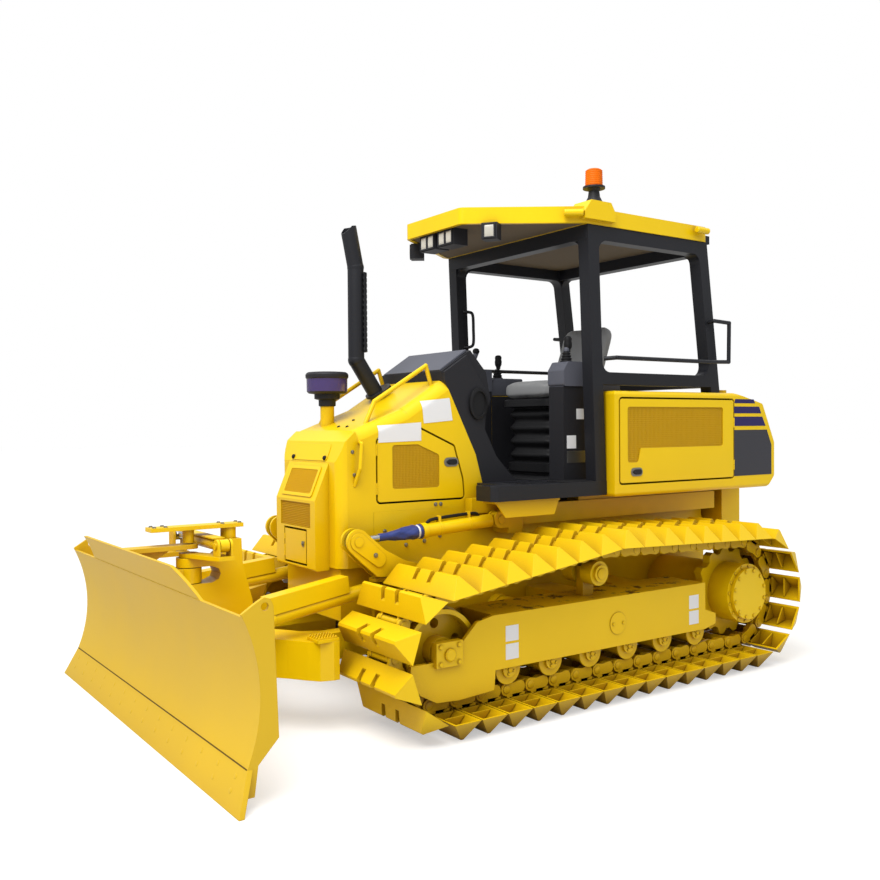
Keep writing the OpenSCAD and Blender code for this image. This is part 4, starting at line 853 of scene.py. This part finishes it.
# %% Toothed step and intake bowl
teeth = 15
zigzag = np.stack([np.linspace(1474, 1576, teeth), 444 + np.where(np.arange(teeth) % 2, 12.0, 4.0)], 1)
bar = np.concatenate([zigzag, [(1576, 438), (1474, 438)]])
step_bars = join(*[plate(bar, "y", y, y + 6) for y in np.arange(526, 620, 22)])
piece("steps", both(step_bars), yellow, body="push_frame")
profile = [(38, 1400), (38, 1530), (40, 1531), (47, 1534), (47, 1566), (70, 1572), (70, 1598), (100, 1602),
           (111, 1612), (112, 1682), (117, 1688), (118, 1704), (112, 1713), (104, 1718)]
bowl = lathe(profile, (1110, -140, 0), sides=48)
rows = np.repeat([0] + [1] * 7 + [2] + [1] * 4, 48).tolist() + [0, 1]
bowl_piece = piece("intake", bowl, yellow, black, bowl_violet, slot="dark_plastic", smooth=35, pick=rows)
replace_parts(bowl_piece, "air_cleaner")

# %% [markdown]
# ## Lamps and beacon
# A lamp's glass is pressed with upright flutes that spread the beam. It is a pillow whose depth carries a
# cosine. The beacon's ridges are rings on a lathe profile.


# %% Lamps and beacon
def lamp(width, height, rim=8):
    """A fluted glass pillow and its bezel, drawn in (across, up, out): the glass lies at depth
    4 + (5 + cos(11 pi a)) (1 - a^4)(1 - b^4) for a, b from -1 to 1."""
    a, b = np.meshgrid(np.linspace(-1, 1, 45), np.linspace(-1, 1, 13), indexing="ij")
    w, h = width / 2, height / 2
    depth = 4 + (5 + np.cos(11 * np.pi * a)) * (1 - a ** 4) * (1 - b ** 4)
    glass = slab(np.stack([a * w, b * h, depth], -1), np.stack([a * w, b * h, 0 * a + 3], -1))
    frame_of = border(rectangle(-w - rim, w + rim, -h - rim, h + rim), rectangle(-w, w, -h, h), 0, 8)
    return glass, join(plate(rectangle(-w, w, -h, h), "z", 0, 3), frame_of)


corner = np.radians(35)
slant_x = 347 + 80 * np.cos(corner) - 45 * np.sin(corner)
slant_y = 305 + 80 * np.sin(corner) + 45 * np.cos(corner)
lamps = [(467, y, 2486, 0.0) for y in (55, 125, -55, -125)]
lamps += [(slant_x, hand * slant_y, 2485, hand * corner) for hand in (1, -1)]
glasses, bezels = [], []
for x, y, z, angle in lamps:
    c, s = np.cos(angle), np.sin(angle)
    stand = ((x, y, z), np.array([[-s, 0, c], [c, 0, s], [0, 1, 0]]))
    glass, bezel = lamp(54, 66)
    glasses.append(set_in(glass, stand))
    bezels.append(set_in(bezel, stand))
piece("lamp_glass", join(*glasses), lens, smooth=40)
piece("lamp_bezels", join(*bezels), black)
beacon_foot = 2752
ridge_h = np.linspace(0, 88, 34)
ridge_r = 48.6 - 0.02 * ridge_h + np.cos(ridge_h * 2 * np.pi / 11)
ridges = np.stack([ridge_r, beacon_foot + ridge_h], 1)
beacon = lathe(np.concatenate([ridges, [(42, 2845), (33, 2850)]]), (-180, 618, 0), sides=40)
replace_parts(piece("beacon_glass", beacon, amber, smooth=60), "beacon_lens")

# %% [markdown]
# ## Cab lining
# The roof is lined with brown felt between dark beams, and the visor in front of them has a lining of its
# own. Beside the seat the body forms a bay whose walls are lined with black sheet, and the consoles in
# front of it are clad to the floor. Liners are thin plates set against the solids, so no paint shows in
# the cab. The small plates on the console are blank.

# %% Headliner, lining, cladding and blank plates
liner = block(-1008, -172, -578, 578, 2519, 2528)
visor = plate([(462, 252), (-62, 634), (-86, 634), (-86, -634), (-62, -634), (462, -252)], "z", 2533, 2540)
piece("headliner", join(liner, visor), lining)
wall, bay_floor, bay_front, bay_rear, bay_rim, cab_floor = 386, 1130, -230, -1050, 1608, 1106
walls = both(block(bay_rear, bay_front - 2, wall - 4, wall, bay_floor, bay_rim))
ends_of_bay = join(block(bay_rear, bay_rear + 4, -wall + 4, wall - 4, bay_floor, bay_rim),
                   block(bay_front, bay_front + 3, -wall + 6, wall - 6, cab_floor, bay_floor + 2),
                   block(bay_rear + 4, bay_front + 3, -wall + 4, wall - 4, bay_floor, bay_floor + 2))
near, far, console_rear, console_front, console_top = 384, 501, -228, -49, 1638
clad = both(join(*[block(*span, cab_floor, console_top) for span in (
    (console_rear, console_front, near - 2, near + 1), (console_rear, console_front, far - 1, far + 2),
    (console_front - 1, console_front + 2, near - 2, far + 2))]))
piece("cab_lining", join(walls, ends_of_bay, clad), black)
marks = [block(-142, -72, 503, 503.8, 1286, 1360), block(-212, -146, 503, 503.8, 1452, 1512)]
piece("console_papers", join(*marks), paper)
piece("console_plate", block(-212, -72, 503, 504.5, 1204, 1272), zinc)
frame_face = 933
signs = [block(x - 40, x + 40, frame_face, frame_face + 0.8, z - 38, z + 38)
         for x in (689, -636) for z in (416, 328)]
piece("frame_plates", both(join(*signs)), paper)

# %% [markdown]
# ## Armrests, mats and grab handles
# The armrests are moulded boxes, so their edges get a bevel. A rubber mat is a slab whose upper layer
# rides up and down on a cosine. Grab handles are bent tubes on the inside of the front posts, and the
# roof is slung by bosses.

# %% Armrests, mats, gratings, handles and bosses
arm = plate([(-505, 1611), (-234, 1611), (-234, 1696), (-264, 1728), (-505, 1728)], "y", 392, 502)
armrests = piece("armrests", both(arm), grey)
soft_edge = armrests.modifiers.new("round", "BEVEL")
soft_edge.width, soft_edge.segments, soft_edge.limit_method = 0.01, 3, "ANGLE"
armrests.data.shade_smooth()


def mat(y0, y1, x0=-222, x1=84):
    """P(x, y) at height 1107.5 + 2 cos(2 pi (x - x0) / 18) over a flat underside on the floor."""
    x, y = np.meshgrid(np.linspace(x0, x1, 154), [y0, y1], indexing="ij")
    height = 1107.5 + 2.0 * np.cos((x - x0) * 2 * np.pi / 18)
    return slab(np.stack([x, y, height], -1), np.stack([x, y, 0 * x + 1105.2], -1))


piece("floor_mats", join(mat(-376, 376), both(mat(508, 650))), rubber)
grating = join(*[block(x, x + 5, 383, 597, 1080, 1102) for x in np.arange(98, 326, 24)],
               *[block(92, 328, y, y + 5, 1084, 1098) for y in (430, 490, 550)])
piece("step_gratings", both(grating), charcoal)
grab = tube(bend([(-160, 584, 1938), (-182, 552, 1940), (-196, 532, 1962), (-196, 530, 2055),
                  (-192, 532, 2150), (-176, 552, 2170), (-154, 584, 2172)]), 10)
piece("post_grabs", both(grab), charcoal, smooth=50)
boss_line = [(15, 0), (19, 4), (19, 101), (15, 105)]
bosses = join(lathe(boss_line, (-28, 692, 2578), (0.79, -0.613, 0), 20),
              lathe(boss_line, (-1050, 704, 2586), (1, 0, 0), 20))
piece("roof_bosses", both(bosses), yellow, smooth=40)

# %% [markdown]
# ## Controls
# Levers stand in rubber boots: a boot is a lathe profile with rings. The blade lever stands on the right
# armrest, the drive lever on the left console, and the right console has a throttle knob. The dashboard
# has a cowl, three dials and an oval boss on its side.

# %% Levers and dashboard
boot_h = np.linspace(0, 1, 26)
boot = np.stack([34 - 16 * boot_h + 3 * np.sin(boot_h * 2 * np.pi * 4), 1780 + 62 * boot_h], 1)
grip = [(14, 1838), (15, 1852), (22, 1866), (24, 1886), (21, 1902), (23, 1914), (18, 1926), (8, 1930)]
levers = [lathe(line, foot, sides=sides) for line, foot, sides in (
    (boot, (-130, 440, 0), 28), (grip, (-142, 440, 0), 24), (boot, (-330, -447, -52), 28),
    (grip, (-338, -447, -46), 24))]
knob = lathe([(9, 1880), (20, 1890), (23, 1902), (20, 1914), (9, 1922)], (-148, -440, 0), sides=24)
piece("levers", join(*levers, knob), rubber, smooth=50)
oval = np.stack([62 * np.cos(circle(32)), 88 * np.sin(circle(32))], 1)
boss_rows = [np.column_stack([430 + size * oval[:, 0], np.full(32, y), 1540 + size * oval[:, 1]])
             for size, y in ((1, 330), (1, 346), (0.78, 350), (0.78, 340))]
piece("dash_boss", grid(np.stack(boss_rows), around=True, caps=True), rubber, smooth=40)
cowl = plate([(648, 1716), (470, 1832), (476, 1840), (654, 1724)], "y", -285, 285)
piece("dash_cowl", cowl, grey, smooth=30)
gauge = along((345, 0, 1690), (440, 0, 1800))
dials = [lathe([(34, 0), (34, 7), (28, 8), (27, 4)], (70, y, 0), sides=28) for y in (-90, 0, 90)]
piece("dash_dials", set_in(join(*dials), gauge), black, smooth=40)

# %% [markdown]
# ## Seat
# The seat stands on a suspension inside a rubber bellows. Its section is a squared circle (powers of sine
# and cosine below one), and the folds are a cosine along its height. The seat itself is foam under a grey
# cover, so it is a soft thing. A superellipsoid gives the cushion before it is filled. A cloth run under
# a little pressure then puffs it and wrinkles the cover where corners hold it back; the move is capped so
# that it stays in the seat pan.


# %% Bellows and pads
def bent(value, power):
    """Signed power, which squares a circle off when it is below one."""
    return np.sign(value) * np.abs(value) ** power


def squared(half_x, half_y, height, centre_x, sides=72):
    """P(i, u) = (x + a C(u), b S(u), z) for rows of half sizes a, b and heights z, C and S signed powers."""
    c, s = bent(np.cos(circle(sides)), 0.3), bent(np.sin(circle(sides)), 0.3)
    a, b, z = (np.asarray(v, float)[:, None] for v in (half_x, half_y, height))
    return np.stack([centre_x + a * c, b * s, z + 0 * c], -1)


fold_z = np.linspace(1192, 1528, 61)
swell = 198 + 11 * np.cos((fold_z - 1192) * 2 * np.pi / 84 + np.pi)
stand_z = np.concatenate([[1130.5, 1134, 1186, 1190], fold_z, [1531, 1535, 1574, 1580]])
half_a = np.concatenate([[216, 220, 220, 204], swell, [205, 243, 243, 236]])
half_b = np.concatenate([[214, 218, 218, 200], swell - 2, [200, 233, 233, 226]])
bellows = grid(squared(half_a, half_b, stand_z, -415), around=True, caps=True)
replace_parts(piece("seat_bellows", bellows, rubber, smooth=40), "seat_base")


def pad(name, centre, half, tilt, power=0.35):
    """P(u, v) = (a C(v) C(u), b C(v) S(u), c S(v)) with C and S signed powers of cosine and sine, leant by
    tilt."""
    v = np.linspace(-np.pi / 2, np.pi / 2, 33)[1:-1, None]
    u = circle(64)[None]
    wide, tall = bent(np.cos(v), power), bent(np.sin(v), power)
    local = np.stack([half[0] * wide * bent(np.cos(u), power), half[1] * wide * bent(np.sin(u), power),
                      half[2] * tall + 0 * u], -1)
    spin = np.array([[np.cos(tilt), 0, np.sin(tilt)], [0, 1, 0], [-np.sin(tilt), 0, np.cos(tilt)]])
    shape = grid(local @ spin.T + np.asarray(centre, float), around=True, caps=True)
    return piece(name, shape, vinyl, smooth=180)


def apply(thing, name):
    """Make a modifier's result the piece's own mesh."""
    with bpy.context.temp_override(object=thing, active_object=thing, selected_objects=[thing]):
        bpy.ops.object.modifier_apply(modifier=name)


def corners_of(thing):
    """The points of a piece as an array."""
    flat = np.empty(len(thing.data.vertices) * 3)
    thing.data.vertices.foreach_get("co", flat)
    return flat.reshape(-1, 3)


def puff(thing, limit):
    """Even mesh by voxels, 20 steps of cloth under pressure, moves capped at limit, one subdivision."""
    remesh = thing.modifiers.new("even", "REMESH")
    remesh.mode, remesh.voxel_size = "VOXEL", 0.012
    apply(thing, "even")
    before = corners_of(thing)
    cloth = thing.modifiers.new("cover", "CLOTH")
    cloth.settings.use_pressure, cloth.settings.uniform_pressure_force = True, 4.0
    cloth.settings.effector_weights.gravity = 0.0
    for step in range(1, 21):
        bpy.context.scene.frame_set(step)
    apply(thing, "cover")
    move = corners_of(thing) - before
    far_moved = np.linalg.norm(move, axis=1)[:, None]
    capped = before + move * np.minimum(1, limit / np.maximum(far_moved, 1e-9))
    thing.data.vertices.foreach_set("co", capped.ravel())
    thing.data.update()
    fine = thing.modifiers.new("fine", "SUBSURF")
    fine.levels = fine.render_levels = 1
    apply(thing, "fine")
    bpy.context.scene.frame_set(1)


cushion = pad("seat_cushion_pad", (-405, 0, 1636), (244, 228, 46), 0.0)
back = pad("seat_back_pad", (-680, 0, 1868), (38, 214, 186), np.arctan2(-130, 370))
for thing in (cushion, back):
    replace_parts(thing, "seat_cushion")
for thing in (cushion, back):
    puff(thing, 0.012)
    print(thing.name, len(thing.data.polygons), "faces")

# %% [markdown]
# ## Camera and light
# The camera stands where the photographer stood: three metres ahead, four and a half to the left, at
# chest height. Its axes come from a compass angle, a nod and a small roll. A bright sky lights everything
# softly, one large lamp gives the edges their direction, and the floor shines a little to the camera, so
# that it is as pale as the sky.

# %% Camera
eye = (3.28132, 4.45877, 1.42681)
yaw, nod, roll = np.radians([234.949, -0.9356, -0.41216])
look = np.array([np.cos(yaw) * np.cos(nod), np.sin(yaw) * np.cos(nod), np.sin(nod)])
level = np.cross(look, [0, 0, 1])
level /= np.linalg.norm(level)
plumb = np.cross(level, look)
pose = np.eye(4)
pose[:3, 0] = np.cos(roll) * level + np.sin(roll) * plumb
pose[:3, 1] = -np.sin(roll) * level + np.cos(roll) * plumb
pose[:3, 2] = -look
pose[:3, 3] = eye
camera_data = bpy.data.cameras.new("camera")
camera_data.sensor_width, camera_data.lens = 36.0, 38.558
camera = bpy.data.objects.new("camera", camera_data)
camera.matrix_world = Matrix(pose.tolist())
bpy.context.scene.collection.objects.link(camera)
bpy.context.scene.camera = camera
print("camera at", eye)

# %% Floor, sky and lamp
reach, below = 60, -0.001
floor_mesh = bpy.data.meshes.new("floor")
floor_points = [(x, y, below) for x, y in rectangle(-reach, reach, -reach, reach)]
floor_mesh.from_pydata(floor_points, [], [(0, 1, 2, 3)])
floor_paint = bpy.data.materials.new("floor")
floor_paint.use_nodes = True
tree = floor_paint.node_tree
tree.nodes.clear()
chalk = add(tree, "BsdfDiffuse", Color=(0.62, 0.62, 0.62, 1))
glow = add(tree, "Emission", Color=(1, 1, 1, 1), Strength=0.46)
view = add(tree, "LightPath")
bright = add(tree, "AddShader")
pale = add(tree, "MixShader")
floor_out = tree.nodes.new("ShaderNodeOutputMaterial")
wire(tree, (chalk, "BSDF", bright, 0), (glow, "Emission", bright, 1), (view, "Is Camera Ray", pale, 0),
     (chalk, "BSDF", pale, 1), (bright, "Shader", pale, 2), (pale, "Shader", floor_out, "Surface"))
floor_mesh.materials.append(floor_paint)
floor = bpy.data.objects.new("floor", floor_mesh)
bpy.context.scene.collection.objects.link(floor)

world = bpy.data.worlds.new("studio")
world.use_nodes = True
bpy.context.scene.world = world
sky = world.node_tree
sky.nodes.clear()
ray = add(sky, "LightPath")
seen = add(sky, "Math", {"operation": "MAXIMUM"})
dome = add(sky, "Background", Color=(1.0, 1.0, 1.0, 1))
incoming = add(sky, "NewGeometry")
height = add(sky, "SeparateXYZ")
rise = add(sky, "MapRange", From_Min=0.0, From_Max=-1.0, To_Min=0.35, To_Max=1.15)
white = add(sky, "Background", Color=(1.0, 1.0, 1.0, 1), Strength=1.0)
either = add(sky, "MixShader")
sky_out = sky.nodes.new("ShaderNodeOutputWorld")
wire(sky, (incoming, "Incoming", height, "Vector"), (height, "Z", rise, "Value"),
     (rise, "Result", dome, "Strength"), (ray, "Is Camera Ray", seen, 0),
     (ray, "Is Transmission Ray", seen, 1), (seen, "Value", either, 0), (dome, "Background", either, 1),
     (white, "Background", either, 2), (either, "Shader", sky_out, "Surface"))
lamp_data = bpy.data.lights.new("key", "AREA")
lamp_data.shape, lamp_data.size, lamp_data.energy = "DISK", 6.0, 520.0
key_lamp = bpy.data.objects.new("key", lamp_data)
key_lamp.location = (4.0, 2.5, 7.5)
aim = np.array([0, 0, 0.8]) - np.array(key_lamp.location)
key_lamp.matrix_world = Matrix.Translation(key_lamp.location) @ Matrix(turn(-aim).tolist()).to_4x4()
bpy.context.scene.collection.objects.link(key_lamp)
bpy.context.scene.view_settings.view_transform = "Standard"
print("floor, sky and one lamp")
